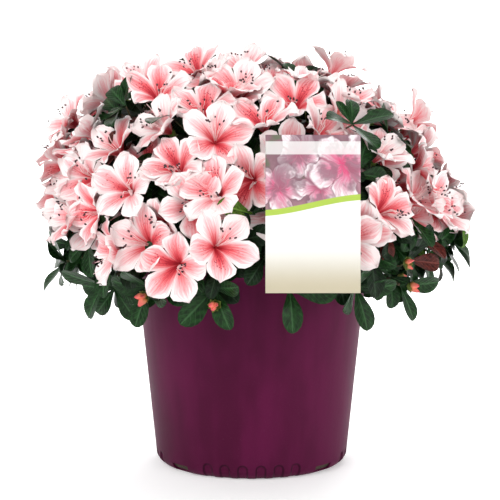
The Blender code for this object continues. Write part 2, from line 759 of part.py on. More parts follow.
def bloom_mesh(bloom):
    """A five-lobed funnel with a recessed throat, its tube drawn out to its shoot."""
    mouth, facing, spin, foot = bloom

    def build(bm):
        verts = [bm.verts.new(point) for point in bloom_points(mouth, facing, spin) + [foot]]
        for corners in bloom_faces():
            bm.faces.new([verts[corner] for corner in corners])
        bmesh.ops.recalc_face_normals(bm, faces=bm.faces)
    return mesh_of("bloom", build)


def twig(start, end, collection):
    """Three-sided taper from start to end."""
    along = end - start

    def build(bm):
        bmesh.ops.create_cone(bm, cap_ends=True, segments=3, radius1=TWIG_RADIUS, radius2=TWIG_TIP_RADIUS,
                              depth=along.length)
    matrix = Matrix.Translation((start + end) / 2.0) @ frame_about(along.normalized(), 0.0).to_4x4()
    return add_object("twig", mesh_of("twig", build), collection, matrix)


def keep_one_body(mesh):
    """Drop sealed hollows and loose scraps: only the largest closed surface stays."""
    bm = bmesh.new()
    bm.from_mesh(mesh)
    bmesh.ops.triangulate(bm, faces=bm.faces)
    unseen = set(bm.faces)
    bodies = []
    while unseen:
        seed = unseen.pop()
        body, edge_of_body = [seed], [seed]
        while edge_of_body:
            face = edge_of_body.pop()
            for edge in face.edges:
                for near in edge.link_faces:
                    if near in unseen:
                        unseen.remove(near)
                        body.append(near)
                        edge_of_body.append(near)
        bodies.append(body)
    bodies.sort(key=len, reverse=True)
    loose = [face for body in bodies[1:] for face in body]
    bmesh.ops.delete(bm, geom=loose, context="FACES")
    bm.to_mesh(mesh)
    bm.free()


def make_mass(mass, plan, shapes, parts):
    """One fused mass: stem, core, twigs, blooms and leaves, with its origin in its core."""
    fused = new_collection("fuse_" + mass["name"])
    core = mass["core"]
    stem_start = bough_path(mass)[-1]
    along = (core - stem_start).normalized()

    radii = Matrix.Diagonal((CORE_LATERAL, CORE_LATERAL, CORE_RADIAL, 1.0))
    core_frame = Matrix.Translation(core) @ frame_about(mass["axis"], 0.0).to_4x4() @ radii
    body = add_object("mass_" + mass["name"], shapes["core"], parts, core_frame)
    twig(stem_start + along * GAP, core, fused)
    for tip in plan["shoots"]:
        twig(core.lerp(tip, TWIG_FROM), tip, fused)
        swelling = Matrix.Translation(tip) @ Matrix.Scale(NODE_RADIUS, 4)
        add_object("swelling", shapes["octahedron"], fused, swelling)
    for bloom in plan["blooms"]:
        add_object("bloom", bloom_mesh(bloom), fused)
    for root, direction, normal, length in plan["leaves"]:
        side = direction.cross(normal)
        turn = Matrix((side, direction, normal)).transposed().to_4x4()
        matrix = Matrix.Translation(root) @ turn @ Matrix.Scale(length, 4)
        add_object("leaf", shapes["leaf"], fused, matrix)

    boolean(body, "UNION", fused)
    apply_modifiers(body)
    keep_one_body(body.data)
    body.matrix_world = Matrix.Translation(core)
    body.data.transform(Matrix.Translation(-core) @ core_frame)
    paint(body, FOLIAGE)
    for item in list(fused.objects):
        bpy.data.objects.remove(item, do_unlink=True)
    bpy.data.collections.remove(fused)


# ---- label ------------------------------------------------------------------
def strip_outline(path, thickness):
    """Outline of a bent strip's edge from its middle line, mitred at the bends."""
    normals = []
    for (ax, ay), (bx, by) in zip(path, path[1:]):
        length = math.hypot(bx - ax, by - ay)
        normals.append(((ay - by) / length, (bx - ax) / length))
    left, right = [], []
    for index, (x, y) in enumerate(path):
        near = normals[max(0, index - 1)]
        far = normals[min(len(normals) - 1, index)]
        nx, ny = near[0] + far[0], near[1] + far[1]
        scale = thickness / (nx * near[0] + ny * near[1]) / 2.0
        left.append((x + nx * scale, y + ny * scale))
        right.append((x - nx * scale, y - ny * scale))
    return left + right[::-1]


def make_label(parts):
    """A card on a flat leg that runs back over the rim and stands in the potting mix."""
    bpy.ops.mesh.primitive_cube_add(size=1.0, location=CARD_CENTRE)
    card = bpy.context.object
    card.name = "plant_label"
    card.data.transform(Matrix.Diagonal((CARD_WIDTH, CARD_THICK, CARD_HEIGHT, 1.0)))
    for owner in list(card.users_collection):
        owner.objects.unlink(card)
    parts.objects.link(card)
    stand_up = Matrix.Rotation(math.pi / 2.0, 4, "Z") @ Matrix.Rotation(math.pi / 2.0, 4, "X")
    matrix = Matrix.Translation((CARD_CENTRE.x, 0.0, 0.0)) @ stand_up
    leg = flat_shape("label_leg", strip_outline(leg_path(), CARD_THICK), LEG_WIDTH, matrix, parts)
    boolean(card, "UNION", leg)
    apply_modifiers(card)
    bpy.data.objects.remove(leg, do_unlink=True)
    paint(card, LABEL_CARD)


# ---- the whole shrub --------------------------------------------------------
def main():
    clear_scene()
    parts = new_collection("azalea_shrub")
    cutters = new_collection("cutters")
    make_pot(parts, cutters)
    make_potting_mix(parts)
    cutter = make_trunk(parts, cutters)

    masses = crown_plan()
    deal_sites(masses)
    limbs = [limb for mass in masses for limb in bough_limbs(mass)]
    core = unit_sphere(CORE_SIDES, CORE_RINGS)
    shapes = {"octahedron": unit_sphere(4, 2), "leaf": leaf_mesh(), "core": core}
    for mass, plan in zip(masses, grow_crown(masses, limbs)):
        make_bough(mass, cutter, parts)
        make_mass(mass, plan, shapes, parts)
    make_label(parts)

    whole = add_object("shrub", None, bpy.context.scene.collection)
    for part in parts.objects:
        part.parent = whole


main()
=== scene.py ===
"""Dresses the azalea shrub: flowers, leaves, limbs, bark mix, pot and label over its solids.

Run as a script it makes every piece in order. The sidebar's Shrub tab lists the same steps.
"""

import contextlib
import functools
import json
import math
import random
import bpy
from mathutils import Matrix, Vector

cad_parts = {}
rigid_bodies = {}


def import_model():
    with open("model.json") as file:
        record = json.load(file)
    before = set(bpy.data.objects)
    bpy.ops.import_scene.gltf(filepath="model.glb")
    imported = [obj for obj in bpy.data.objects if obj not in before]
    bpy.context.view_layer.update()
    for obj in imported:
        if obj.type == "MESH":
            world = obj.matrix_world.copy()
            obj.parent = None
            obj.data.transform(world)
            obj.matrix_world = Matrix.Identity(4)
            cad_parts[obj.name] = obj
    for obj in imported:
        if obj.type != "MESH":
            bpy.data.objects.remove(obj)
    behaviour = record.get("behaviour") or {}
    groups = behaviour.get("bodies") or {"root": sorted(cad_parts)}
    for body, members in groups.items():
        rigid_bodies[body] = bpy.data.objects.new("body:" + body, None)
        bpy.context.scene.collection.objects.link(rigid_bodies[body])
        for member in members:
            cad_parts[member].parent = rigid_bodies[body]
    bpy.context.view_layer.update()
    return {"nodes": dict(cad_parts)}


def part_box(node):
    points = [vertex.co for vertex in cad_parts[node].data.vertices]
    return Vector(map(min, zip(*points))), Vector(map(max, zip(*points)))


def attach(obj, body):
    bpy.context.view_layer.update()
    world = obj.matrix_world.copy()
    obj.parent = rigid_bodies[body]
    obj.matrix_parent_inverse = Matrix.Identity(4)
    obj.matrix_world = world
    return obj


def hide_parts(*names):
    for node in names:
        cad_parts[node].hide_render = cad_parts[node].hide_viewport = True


bl_info = {
    "name": "Azalea shrub",
    "version": (1, 0, 0),
    "blender": (4, 5, 0),
    "location": "View3D > Sidebar > Shrub",
    "description": "Grows an azalea in bloom over its solids, in a nursery pot with a label",
    "category": "Add Mesh",
}

import bmesh
import bpy
from bpy.props import FloatProperty, FloatVectorProperty, IntProperty, PointerProperty
from mathutils import Matrix, Vector
from mathutils.bvhtree import BVHTree

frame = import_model()

# ---- sizes read from the frame ----------------------------------------------
POT_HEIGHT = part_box("pot")[1].z
RIM_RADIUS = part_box("pot")[1].x
SOIL_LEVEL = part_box("potting_mix")[1].z
CARD_LOW, CARD_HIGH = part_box("plant_label")
CARD_MIDDLE = (CARD_LOW.x + CARD_HIGH.x) / 2.0

# ---- pot --------------------------------------------------------------------
WALL = 0.0022
FOOT_RADIUS = 0.1175      # outside, just above the rounded foot
TOP_RADIUS = 0.1410       # outside, just below the rim
FOOT_ROUND = 0.012
RIM_HEIGHT = 0.015
RIM_THICK = 0.0036
NOTCH_COUNT = 4
NOTCH_WIDTH = 0.026
NOTCH_HEIGHT = 0.010
NOTCH_FROM_RADIUS = 0.108
POT_STEPS = 480
MIX_STEPS = 96
GAP = 0.0003

# ---- label ------------------------------------------------------------------
CARD_THICK = 0.0012
CARD_DEPTH = CARD_LOW.y + CARD_THICK / 2.0
LEG_WIDTH = 0.010
LEG_CARD_DROP = 0.010
LEG_ON_RIM = 0.012
LEG_FOOT = 0.008
FRONT_OF_CARD = 0.060     # depth in front of the card that is kept open
PRESS_GAP = 0.0012        # petals pressed behind the card keep this gap to it
PRESS_DEPTH = 0.014       # those further in front of it aren't pressed
PRESS_EASE = 0.0050

# ---- trunk and boughs -------------------------------------------------------
TRUNK_SHAPE = ((0.0, 0.0200), (0.006, 0.0155), (0.020, 0.0132), (0.046, 0.0120))
TRUNK_HEIGHT = TRUNK_SHAPE[-1][0]
FLARE_HEIGHT = TRUNK_SHAPE[1][0]
TRUNK_LEAN = Vector((0.004, -0.003, 0.0))
BOUGH_RADIUS = 0.0050
BOUGH_TIP_RADIUS = 0.0034
BOUGH_FROM = {"upper": 0.028, "lower": 0.012}
BOUGH_BEND_AT = 0.45
BOUGH_LIFT = 0.07
CROWN_BOUGH_STRAIGHT = 0.020
STEM_LENGTH = 0.008

# ---- crown ------------------------------------------------------------------
HUB = Vector((0.0, 0.0, 0.250))
RINGS = {
    "crown": (90.0, 0.0, (0.242,)),
    "upper": (44.0, 0.0, (0.252, 0.252, 0.258, 0.262, 0.274)),
    "lower": (4.0, 25.7, (0.252, 0.262, 0.258, 0.258, 0.260, 0.252, 0.254)),
}
REACH_BLEND = 14.0
SPRAYS = ((-86.0, 34.0, 0.034), (84.0, 34.0, 0.014), (82.0, 12.0, 0.012))
SPRAY_BLEND = 40.0
CORE_AT = 0.57
CORE_RADIAL = 0.040
LOW_CORE_LIFT = 0.020
CELL_GAP = 0.0007
LEAF_CLEARANCE = 0.0020

# ---- blooms -----------------------------------------------------------------
SITE_COUNT = 130
LOWEST_SITE = -4.0
SITE_SPIN = 0.35
SIDE_LOWEST = 9.0
SIDE_SPREAD = 50.0
LOBES = 5
LOBE_RADIUS = 0.0355
LOBE_SHOULDER = math.radians(15.0)
SINUS_RADIUS = 0.0230
SINUS_DROP = 0.0060
THROAT_DROP = 0.0150
TUBE_RADIUS = 0.0045
BLOOM_DEPTH = 0.0260
TRUSS_SIZE = 3
TRUSS_DEPTH = 0.052
FACING_SPREAD = 0.55
MOUTH_DEPTHS = (0.006, 0.018)
DRAW_BACK = 0.004
BACK_STEPS = 6
SPIN_STEPS = 4
BLOOM_CLEARANCE = 1.03
FIRST_SEED = 11
LEAF_SEED = 51
NODE_RADIUS = 0.0060
NODE_START = 0.0006
NEAR_BLOOMS = 0.150       # blooms whose mouths are further apart never meet

# second flush: blooms set deeper, in the gaps that the first one leaves
FILL_SITES = 640
FILL_SPIN = 1.9
FILL_LOWEST = 1.0
FILL_SCALES = (1.0, 0.92)
FILL_DEPTHS = (0.004, 0.011, 0.018, 0.025)
FILL_OVERLAP = 0.60       # share of a bloom that no other may cross
FILL_TILT = 0.34
FILL_WHOLE = 1.12         # an open flower's ruffles reach this far beyond its bloom's points
FILL_STALK = 0.010
FILL_SEED = 91
# azimuth, elevation and reach of blooms that stand out of the dome
STANDING_BLOOMS = (
    (-70.0, 56.0, 0.284), (-82.0, 38.0, 0.296), (64.0, 64.0, 0.272), (78.0, 38.0, 0.280),
)
LEAFY_KEPT_OPEN = math.radians(8.5)
OPEN_FORMS = 6            # forms of an open bloom; the last two forms are half open
ALL_FORMS = 8
HALF_OPEN = (0.55, 0.30)  # how far those two are open
HALF_OPEN_SHARE = 0.15    # of the smaller blooms of the second flush
TUBE_LENGTH = 0.0295      # from the mouth back to the sepals

# a lobe's middle line: share of the way from the tube's base to the tip, radius, height
FUNNEL = (
    (0.00, 0.0003, -0.0285), (0.20, 0.0050, -0.0205), (0.38, 0.0098, -0.0140),
    (0.55, 0.0175, -0.0082), (0.72, 0.0258, -0.0038), (0.88, 0.0333, -0.0010),
    (1.00, 0.0385, 0.0004),
)
# a lobe's grid: rows from the base to the tip, columns across it
LOBE_ROWS = (0.0, 0.16, 0.32, 0.44, 0.56, 0.68, 0.79, 0.89, 0.96, 1.0)
LOBE_COLUMNS = 8
CHARTS = "OFBake"         # UV map of flowers, leaves and buds
ATLAS = 4                 # charts a side in it
CHART_KEEP = 0.92         # share of a chart's side that is used
SIDE_SCALE = 2.17         # takes the used half width to 1
SPOTTED_ROW = 3           # charts of the spotted lobe; the rows 0 and 1 have the lower lobes

# ---- leaves -----------------------------------------------------------------
LEAF_LENGTH = 0.046
LEAF_WIDTH = 0.019
LEAF_THICK = 0.0012
LEAF_FOLD = 0.0025
LEAF_TRIES = 4
LEAF_TILT = 0.16
LEAF_TEST_SHARES = (0.25, 0.4, 0.55, 0.7, 0.85, 1.0)
LEAF_TEST_FACES = tuple((end, side, face) for end in (0, 5) for side in (6, 7) for face in (8, 9))
LEAF_MARGIN = 0.0005
LEAF_LENGTHS = (0.85, 1.1)
LEAF_TURN = 0.25
LEAF_LEAN = 0.2
BLADE_HALF_WIDTH = 0.260  # as a share of the blade's length
BLADE_ROWS = (0.0, 0.12, 0.30, 0.48, 0.64, 0.78, 0.89, 0.97, 1.0)
TRUSS_LEAVES = 2
WHORL_LEAVES = 5
WHORL_DEPTH = 0.026
TRUSS_LEAN = 1.05
WHORL_LEAN = 1.0
SKIRT_LEAN = 0.85
LEAFY_BEARINGS = (
    (-45.0, 40.0), (36.0, 66.0), (27.0, 28.0), (79.0, 8.0), (-78.0, -1.0), (60.0, 32.0),
    (154.0, 24.0), (-120.0, 20.0), (-162.0, 10.0), (100.0, 62.0), (-108.0, 66.0), (140.0, 0.0),
)
SKIRT_COUNT = 17
SKIRT_PARTING = 25.0
SKIRT_ELEVATION = -9.0
SKIRT_REACH = 0.206
SKIRT_DROOP = 0.28
SKIRT_LEAVES = 4
TWIG_RADIUS = 0.0030
TWIG_TEST_SHARES = (0.5, 0.6, 0.7, 0.8, 0.9, 1.0)
TWIG_TEST_FACES = ((0, 6, 7),)

# finer shoots: count, lowest elevation, depth below the dome, leaves, lean
FINER_SHOOTS = {
    "outer": (280, -5.0, (0.036, 0.050), 5, 1.10),
    "inner": (170, -8.0, (0.066, 0.092), 5, 1.00),
}
FINER_SIDE_LOWEST = -2.0
FINER_TURN = 0.4
FINER_LEAN = 0.35
FINER_LENGTHS = (0.62, 1.0)
# leaves of the finer shoots: draws up to each share give leaves of that age
LEAF_AGES = (
    ("leaves_bronze", 0.05), ("leaves_young", 0.09), ("leaves_grown", 0.50), ("leaves_old", 1.0),
)
TO_LIGHT = Vector((0.0, -0.9, 0.3))    # shoots turn to the light in front
# shoots that stand clear of the rest: place, outward direction, leaves, their age
CLEAR_SHOOTS = (
    ((-0.152, -0.112, 0.213), (-0.25, -0.90, -0.25), 6, "grown"),
    ((0.155, -0.105, 0.226), (0.25, -0.90, -0.20), 5, "grown"),
    ((-0.214, -0.030, 0.262), (-0.40, -0.85, -0.20), 5, "grown"),
    ((0.222, -0.030, 0.268), (0.45, -0.85, -0.20), 5, "grown"),
    ((-0.098, -0.165, 0.226), (-0.10, -0.95, -0.20), 5, "grown"),
    ((0.246, -0.030, 0.300), (0.60, -0.75, 0.10), 4, "young"),
    ((-0.186, -0.090, 0.338), (-0.50, -0.85, 0.10), 5, "bronze"),
    ((-0.196, -0.060, 0.298), (-0.50, -0.85, 0.0), 4, "bronze"),
    ((-0.136, -0.136, 0.411), (-0.45, -0.60, 0.66), 5, "grown"),
    ((0.104, -0.172, 0.386), (0.30, -0.62, 0.72), 5, "grown"),
    ((-0.086, -0.170, 0.396), (-0.30, -0.64, 0.70), 4, "grown"),
)
CLEAR_LEAN = 1.25
FINER_SEED = 131
# azimuth and elevation of the clusters of buds
BUD_BEARINGS = (
    (-31.0, -11.0), (-10.0, -13.0), (31.0, 41.0), (46.0, -2.0), (-66.0, 52.0), (14.0, 74.0),
    (98.0, 24.0), (128.0, 44.0), (170.0, 52.0), (-142.0, 40.0), (-96.0, 12.0), (54.0, -9.0),
    (-170.0, -8.0), (112.0, -8.0),
)
BUDS_IN_CLUSTER = 3
BUD_FORMS = 3
CHIP_FORMS = 4
# what each further random draw starts from
SEEDS = {
    "flower": 300, "blade": 500, "chip": 700,
    "forms": 17, "stamens": 23, "ages": 29, "buds": 37, "twigs": 41,
}

GOLDEN_ANGLE = math.pi * (3.0 - math.sqrt(5.0))
UP = Vector((0.0, 0.0, 1.0))
MASSES = [name for name in frame["nodes"] if name.startswith("mass_")]
LIMBS = [name for name in frame["nodes"] if name.startswith("bough_")] + ["trunk"]


# ---- settings ---------------------------------------------------------------
def colour_property(name, description, default):
    return FloatVectorProperty(name=name, description=description, default=default, size=3, min=0.0,
                               max=1.0, subtype="COLOR")


def length_property(name, description, default):
    return FloatProperty(name=name, description=description, default=default, min=0.0, unit="LENGTH")


class PotSettings(bpy.types.PropertyGroup):
    """The nursery pot."""

    plastic: colour_property("Plastic", "Colour of the moulded plastic", (0.088, 0.0060, 0.038))
    shade: colour_property("Shade", "Darker colour of its mottling", (0.060, 0.0041, 0.025))
    arch_count: IntProperty(name="Arches", description="Small arches between two notches", default=6,
                            min=0)
    arch_pitch: length_property("Arch pitch", "From one arch to the next", 0.0205)
    arch_width: length_property("Arch width", "Width of an arch", 0.0105)
    arch_height: length_property("Arch height", "Height of an arch", 0.0165)
    arch_depth: length_property("Arch depth", "Depth of an arch", 0.0020)


class MixSettings(bpy.types.PropertyGroup):
    """The potting mix."""

    bark: colour_property("Bark", "Colour of the composted bark", (0.058, 0.030, 0.017))
    chip_density: FloatProperty(name="Chips", description="Chips on a square metre", default=14000.0,
                                min=0.0)
    chip_seed: IntProperty(name="Seed", description="Seed of the chips' places", default=7)


class LimbSettings(bpy.types.PropertyGroup):
    """Trunk, boughs and twigs."""

    bark: colour_property("Bark", "Colour of the old bark", (0.120, 0.078, 0.050))
    young: colour_property("Young bark", "Colour of this year's shoots", (0.150, 0.190, 0.050))
    relief: length_property("Relief", "Depth of the bark's ridges", 0.0016)
    relief_size: length_property("Ridge size", "Distance between two ridges", 0.0060)


class BloomSettings(bpy.types.PropertyGroup):
    """Flowers and buds."""

    throat: colour_property("Throat", "Colour deep in the flower", (0.46, 0.020, 0.036))
    coral: colour_property("Coral", "Colour of the rays", (0.74, 0.080, 0.098))
    blush: colour_property("Blush", "Colour between rays and margin", (0.86, 0.50, 0.52))
    margin: colour_property("Margin", "Colour of the margin", (0.91, 0.83, 0.82))
    blotch: colour_property("Blotch", "Colour of the upper lobe's spots", (0.34, 0.008, 0.030))
    ruffle: length_property("Ruffle", "Height of the margin's waves", 0.0027)
    filament_radius: length_property("Filament", "Radius of a filament", 0.00036)
    anther_length: length_property("Anther", "Length of an anther", 0.0036)


class LeafSettings(bpy.types.PropertyGroup):
    """Leaves, by the age of their shoots."""

    dark: colour_property("Old", "Colour of last year's leaves", (0.005, 0.021, 0.005))
    mid: colour_property("Grown", "Colour of grown leaves", (0.011, 0.050, 0.010))
    young: colour_property("Young", "Colour of young leaves", (0.105, 0.225, 0.026))
    bronze: colour_property("Bronze", "Colour of leaves that turn", (0.120, 0.020, 0.014))
    fold: FloatProperty(name="Fold", description="Angle of each half", default=0.30, subtype="ANGLE")
    curl: FloatProperty(name="Curl", description="Drop of the tip, as a share of the length",
                        default=0.16)


class LabelSettings(bpy.types.PropertyGroup):
    """The plant label."""

    paper: colour_property("Paper", "Colour of the card", (0.77, 0.77, 0.75))
    cream: colour_property("Cream", "Colour of its foot", (0.45, 0.40, 0.28))
    band: colour_property("Band", "Colour of the band", (0.34, 0.48, 0.05))
    panel: colour_property("Panel", "Colour of the upper panel", (0.34, 0.17, 0.21))
    rosette: colour_property("Rosettes", "Colour of the rosettes' middles", (0.56, 0.04, 0.14))


class StageSettings(bpy.types.PropertyGroup):
    """Floor, light and camera."""

    floor: colour_property("Floor", "Colour of the floor", (0.93, 0.93, 0.93))
    glow: FloatProperty(name="Glow", description="Light that the floor gives off", default=0.30,
                        min=0.0)
    sky: FloatProperty(name="Sky", description="Light from above, where the horizon gives 1",
                       default=0.30)
    key: FloatProperty(name="Key", description="Power of the key light", default=39.0, unit="POWER")
    fill: FloatProperty(name="Fill", description="Power of the fill light", default=21.0, unit="POWER")
    top: FloatProperty(name="Top", description="Power of the top light", default=18.0, unit="POWER")
    back: FloatProperty(name="Back", description="Power of the light behind", default=40.0, unit="POWER")
    camera_place: FloatVectorProperty(name="Camera", description="Place of the camera",
                                      subtype="TRANSLATION", default=(-0.0019, -1.05, 0.256))
    lens: FloatProperty(name="Lens", description="Focal length in millimetres", default=60.7)


# ---- building aids ----------------------------------------------------------
class Value:
    """Output of a node. Sums of them, with numbers too, add the maths nodes that work them out."""

    def __init__(self, socket):
        self.socket = socket

    def __add__(self, other):
        return maths("ADD", self, other)

    def __sub__(self, other):
        return maths("SUBTRACT", self, other)

    def __rsub__(self, other):
        return maths("SUBTRACT", other, self)

    def __mul__(self, other):
        return maths("MULTIPLY", self, other)

    def __truediv__(self, other):
        return maths("DIVIDE", self, other)

    def __rtruediv__(self, other):
        return maths("DIVIDE", other, self)

    def __pow__(self, other):
        return maths("POWER", self, other)

    def __gt__(self, other):
        return maths("GREATER_THAN", self, other)

    def __lt__(self, other):
        return maths("LESS_THAN", self, other)

    def __abs__(self):
        return maths("ABSOLUTE", self)


def put(tree, kind, inputs=None, **settings):
    """Add a node with its settings; inputs, by index or name, are linked or set."""
    made = tree.nodes.new(kind)
    for name, setting in settings.items():
        setattr(made, name, setting)
    for key, given in (inputs or {}).items():
        if isinstance(given, Value):
            tree.links.new(given.socket, made.inputs[key])
        else:
            made.inputs[key].default_value = given
    return made


def value(tree, kind, inputs=None, output=0, **settings):
    """One output of a new node."""
    return Value(put(tree, kind, inputs, **settings).outputs[output])


def beside(given, kind, inputs, output=0, **settings):
    """One output of a new node in the tree of a value."""
    return value(given.socket.id_data, kind, inputs, output, **settings)


def maths(operation, *terms):
    """Outcome of a maths node; at least one of its terms is a value."""
    known = next(term for term in terms if isinstance(term, Value))
    return beside(known, "ShaderNodeMath", dict(enumerate(terms)), operation=operation)


def vectors(operation, first, second=(0.0, 0.0, 0.0), scale=1.0):
    """Vector sum of two vectors; the length and the dot product are numbers."""
    output = "Value" if operation in ("LENGTH", "DOT_PRODUCT") else "Vector"
    inputs = {0: first, 1: second, 3: scale}
    return beside(first, "ShaderNodeVectorMath", inputs, output, operation=operation)


def split_xyz(vector):
    parts = put(vector.socket.id_data, "ShaderNodeSeparateXYZ", {0: vector}).outputs
    return [Value(part) for part in parts]


def join_xyz(x, y, z=0.0):
    return beside(x, "ShaderNodeCombineXYZ", {0: x, 1: y, 2: z})


def smooth_step(given, low, high, start=0.0, end=1.0):
    """From start below low to end above high, eased; the other way round where low is the higher."""
    inputs = {"Value": given, "From Min": low, "From Max": high, "To Min": start, "To Max": end}
    return beside(given, "ShaderNodeMapRange", inputs, interpolation_type="SMOOTHSTEP")


def noise(vector, scale, detail=3.0, roughness=0.5):
    inputs = {"Vector": vector, "Scale": scale, "Detail": detail, "Roughness": roughness}
    return beside(vector, "ShaderNodeTexNoise", inputs, "Fac")


def mix(factor, first, second):
    """Blend of two colours, each a value or (red, green, blue)."""
    inputs = {0: factor}
    for key, colour in ((6, first), (7, second)):
        inputs[key] = colour if isinstance(colour, Value) else (*colour, 1.0)
    known = factor if isinstance(factor, Value) else first
    return beside(known, "ShaderNodeMix", inputs, 2, data_type="RGBA")


def ramp(factor, stops):
    """Colour ramp through (place, colour) stops."""
    made = beside(factor, "ShaderNodeValToRGB", {"Fac": factor})
    points = made.socket.node.color_ramp.elements
    while len(points) < len(stops):
        points.new(1.0)
    for point, (place, colour) in zip(points, stops):
        point.position = place
        point.color = (*colour, 1.0)
    return made


def bump(height, strength, distance):
    inputs = {"Height": height, "Strength": strength, "Distance": distance}
    return beside(height, "ShaderNodeBump", inputs)


def new_finish(name, roughness, **settings):
    """Material with a Principled shader; returns it, its tree and the shader."""
    made = bpy.data.materials.new(name)
    made.use_nodes = True
    shader = made.node_tree.nodes["Principled BSDF"]
    shader.inputs["Roughness"].default_value = roughness
    for key, setting in settings.items():
        shader.inputs[key.replace("_", " ")].default_value = setting
    return made, made.node_tree, shader


def paint(shader, colour, normal=None, roughness=None):
    """Wire colour, normal and roughness to the shader."""
    for key, given in (("Base Color", colour), ("Normal", normal), ("Roughness", roughness)):
        if given is not None:
            shader.id_data.links.new(given.socket, shader.inputs[key])


def object_place(tree):
    return value(tree, "ShaderNodeTexCoord", output="Object")


def chart_place(tree):
    """The piece's own UV map: its chart's column and row, and the place in the chart, 0 to 1."""
    place = value(tree, "ShaderNodeUVMap", uv_map=CHARTS)
    large = vectors("MULTIPLY", place, (ATLAS, ATLAS, 1.0))
    column, row, _ = split_xyz(vectors("FLOOR", large))
    across, along, _ = split_xyz(vectors("FRACTION", large))
    return column, row, across, along


def new_tree(name, **inputs):
    """Geometry node tree with named inputs and their defaults, and the values of these inputs."""
    tree = bpy.data.node_groups.new(name, "GeometryNodeTree")
    tree.is_modifier = True
    tree.interface.new_socket("Geometry", in_out="INPUT", socket_type="NodeSocketGeometry")
    for key, default in inputs.items():
        kind = "NodeSocketInt" if isinstance(default, int) else "NodeSocketFloat"
        label = key.replace("_", " ").title()
        socket = tree.interface.new_socket(label, in_out="INPUT", socket_type=kind)
        socket.default_value = default
    tree.interface.new_socket("Geometry", in_out="OUTPUT", socket_type="NodeSocketGeometry")
    return tree, {socket.name: Value(socket) for socket in tree.nodes.new("NodeGroupInput").outputs}


def end_tree(tree, geometry, finish):
    """End a tree: instances realized, shaded smooth, in their finish."""
    real = value(tree, "GeometryNodeRealizeInstances", {0: geometry})
    smooth = value(tree, "GeometryNodeSetShadeSmooth", {"Geometry": real})
    dressed = value(tree, "GeometryNodeSetMaterial", {"Geometry": smooth, "Material": finish})
    put(tree, "NodeGroupOutput", {0: dressed})
    return tree


def attribute(tree, name, kind):
    return value(tree, "GeometryNodeInputNamedAttribute", {"Name": name}, data_type=kind)


def instances(tree, collection, inputs):
    """Shapes picked from the collection, on points."""
    shapes = value(tree, "GeometryNodeCollectionInfo", {
        "Collection": collection, "Separate Children": True, "Reset Children": True})
    inputs = {"Instance": shapes, "Pick Instance": True, **inputs}
    return value(tree, "GeometryNodeInstanceOnPoints", inputs)


def use_tree(obj, tree, **values):
    """Add the tree to the object as a modifier, its inputs set by the names of their sockets."""
    modifier = obj.modifiers.new(tree.name, "NODES")
    modifier.node_group = tree
    for item in tree.interface.items_tree:
        key = item.name.lower().replace(" ", "_")
        if item.in_out == "INPUT" and key in values:
            modifier[item.identifier] = values[key]


def loose_object(name, mesh):
    obj = bpy.data.objects.new(name, mesh)
    bpy.context.scene.collection.objects.link(obj)
    return obj


def settled(obj):
    """The object's mesh with its modifiers applied, and the object removed."""
    bpy.context.view_layer.update()
    graph = bpy.context.evaluated_depsgraph_get()
    mesh = bpy.data.meshes.new_from_object(obj.evaluated_get(graph))
    bpy.data.objects.remove(obj, do_unlink=True)
    return mesh


def add_piece(name, mesh, nodes, finish):
    """Finished piece at the origin, which rides on the plant and stands for the nodes."""
    mesh.name = name
    mesh.materials.clear()
    mesh.materials.append(finish)
    piece = loose_object(name, mesh)
    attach(piece, "root")
    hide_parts(*nodes)


@contextlib.contextmanager
def shelf(name, shapes):
    """Collection with an object for each shape, kept only while a tree picks from it."""
    collection = bpy.data.collections.new(name)
    for index, shape in enumerate(shapes):
        collection.objects.link(bpy.data.objects.new(f"{name}_{index:02d}", shape))
    yield collection
    for master in list(collection.objects):
        bpy.data.objects.remove(master, do_unlink=True)
    bpy.data.collections.remove(collection)


def mesh_of(name, build):
    """Mesh that the function build fills through a bmesh, shaded smooth."""
    bm = bmesh.new()
    build(bm)
    mesh = bpy.data.meshes.new(name)
    bm.to_mesh(mesh)
    bm.free()
    mesh.shade_smooth()
    return mesh


def chart_uv(column, row, across, along):
    """Place in the atlas of a point of a chart, kept off the chart's edges."""
    margin = (1.0 - CHART_KEEP) / 2.0
    return tuple((cell + margin + CHART_KEEP * part) / ATLAS
                 for cell, part in ((column, across), (row, along)))


def add_sheet(bm, cell, alongs, acrosses, point_at):
    """Add the grid of points point_at(along, across) to a bmesh, charted in a cell of the atlas."""
    layers = bm.loops.layers.uv
    layer = layers.get(CHARTS) or layers.new(CHARTS)
    verts = [[bm.verts.new(point_at(along, across)) for across in acrosses] for along in alongs]
    for r in range(len(alongs) - 1):
        for c in range(len(acrosses) - 1):
            corners = ((r, c), (r, c + 1), (r + 1, c + 1), (r + 1, c))
            face = bm.faces.new([verts[i][j] for i, j in corners])
            for loop, (i, j) in zip(face.loops, corners):
                loop[layer].uv = chart_uv(*cell, acrosses[j], alongs[i])


def turned_mesh(name, profile, steps):
    """Surface of revolution from (radius, height) points, outer side running down."""
    mesh = bpy.data.meshes.new(name)
    edges = [(i, i + 1) for i in range(len(profile) - 1)]
    mesh.from_pydata([(r, 0.0, z) for r, z in profile], edges, [])
    obj = loose_object(name, mesh)
    screw = obj.modifiers.new("turn", "SCREW")
    screw.steps = steps
    screw.render_steps = steps
    screw.use_merge_vertices = True
    screw.merge_threshold = 0.00002
    return obj


def polar(radius, angle, height):
    """Point that far from the Z axis, at an angle from +X."""
    return Vector((radius * math.cos(angle), radius * math.sin(angle), height))


def arc(centre, radius, start, end, steps):
    """Points round a centre, angles in degrees from the outward direction."""
    for step in range(steps + 1):
        angle = math.radians(start + (end - start) * step / steps)
        yield (centre[0] + radius * math.cos(angle), centre[1] + radius * math.sin(angle))


def spread(start, end, count):
    """Points on a line, without its ends."""
    for step in range(1, count):
        share = step / count
        yield tuple(a + (b - a) * share for a, b in zip(start, end))


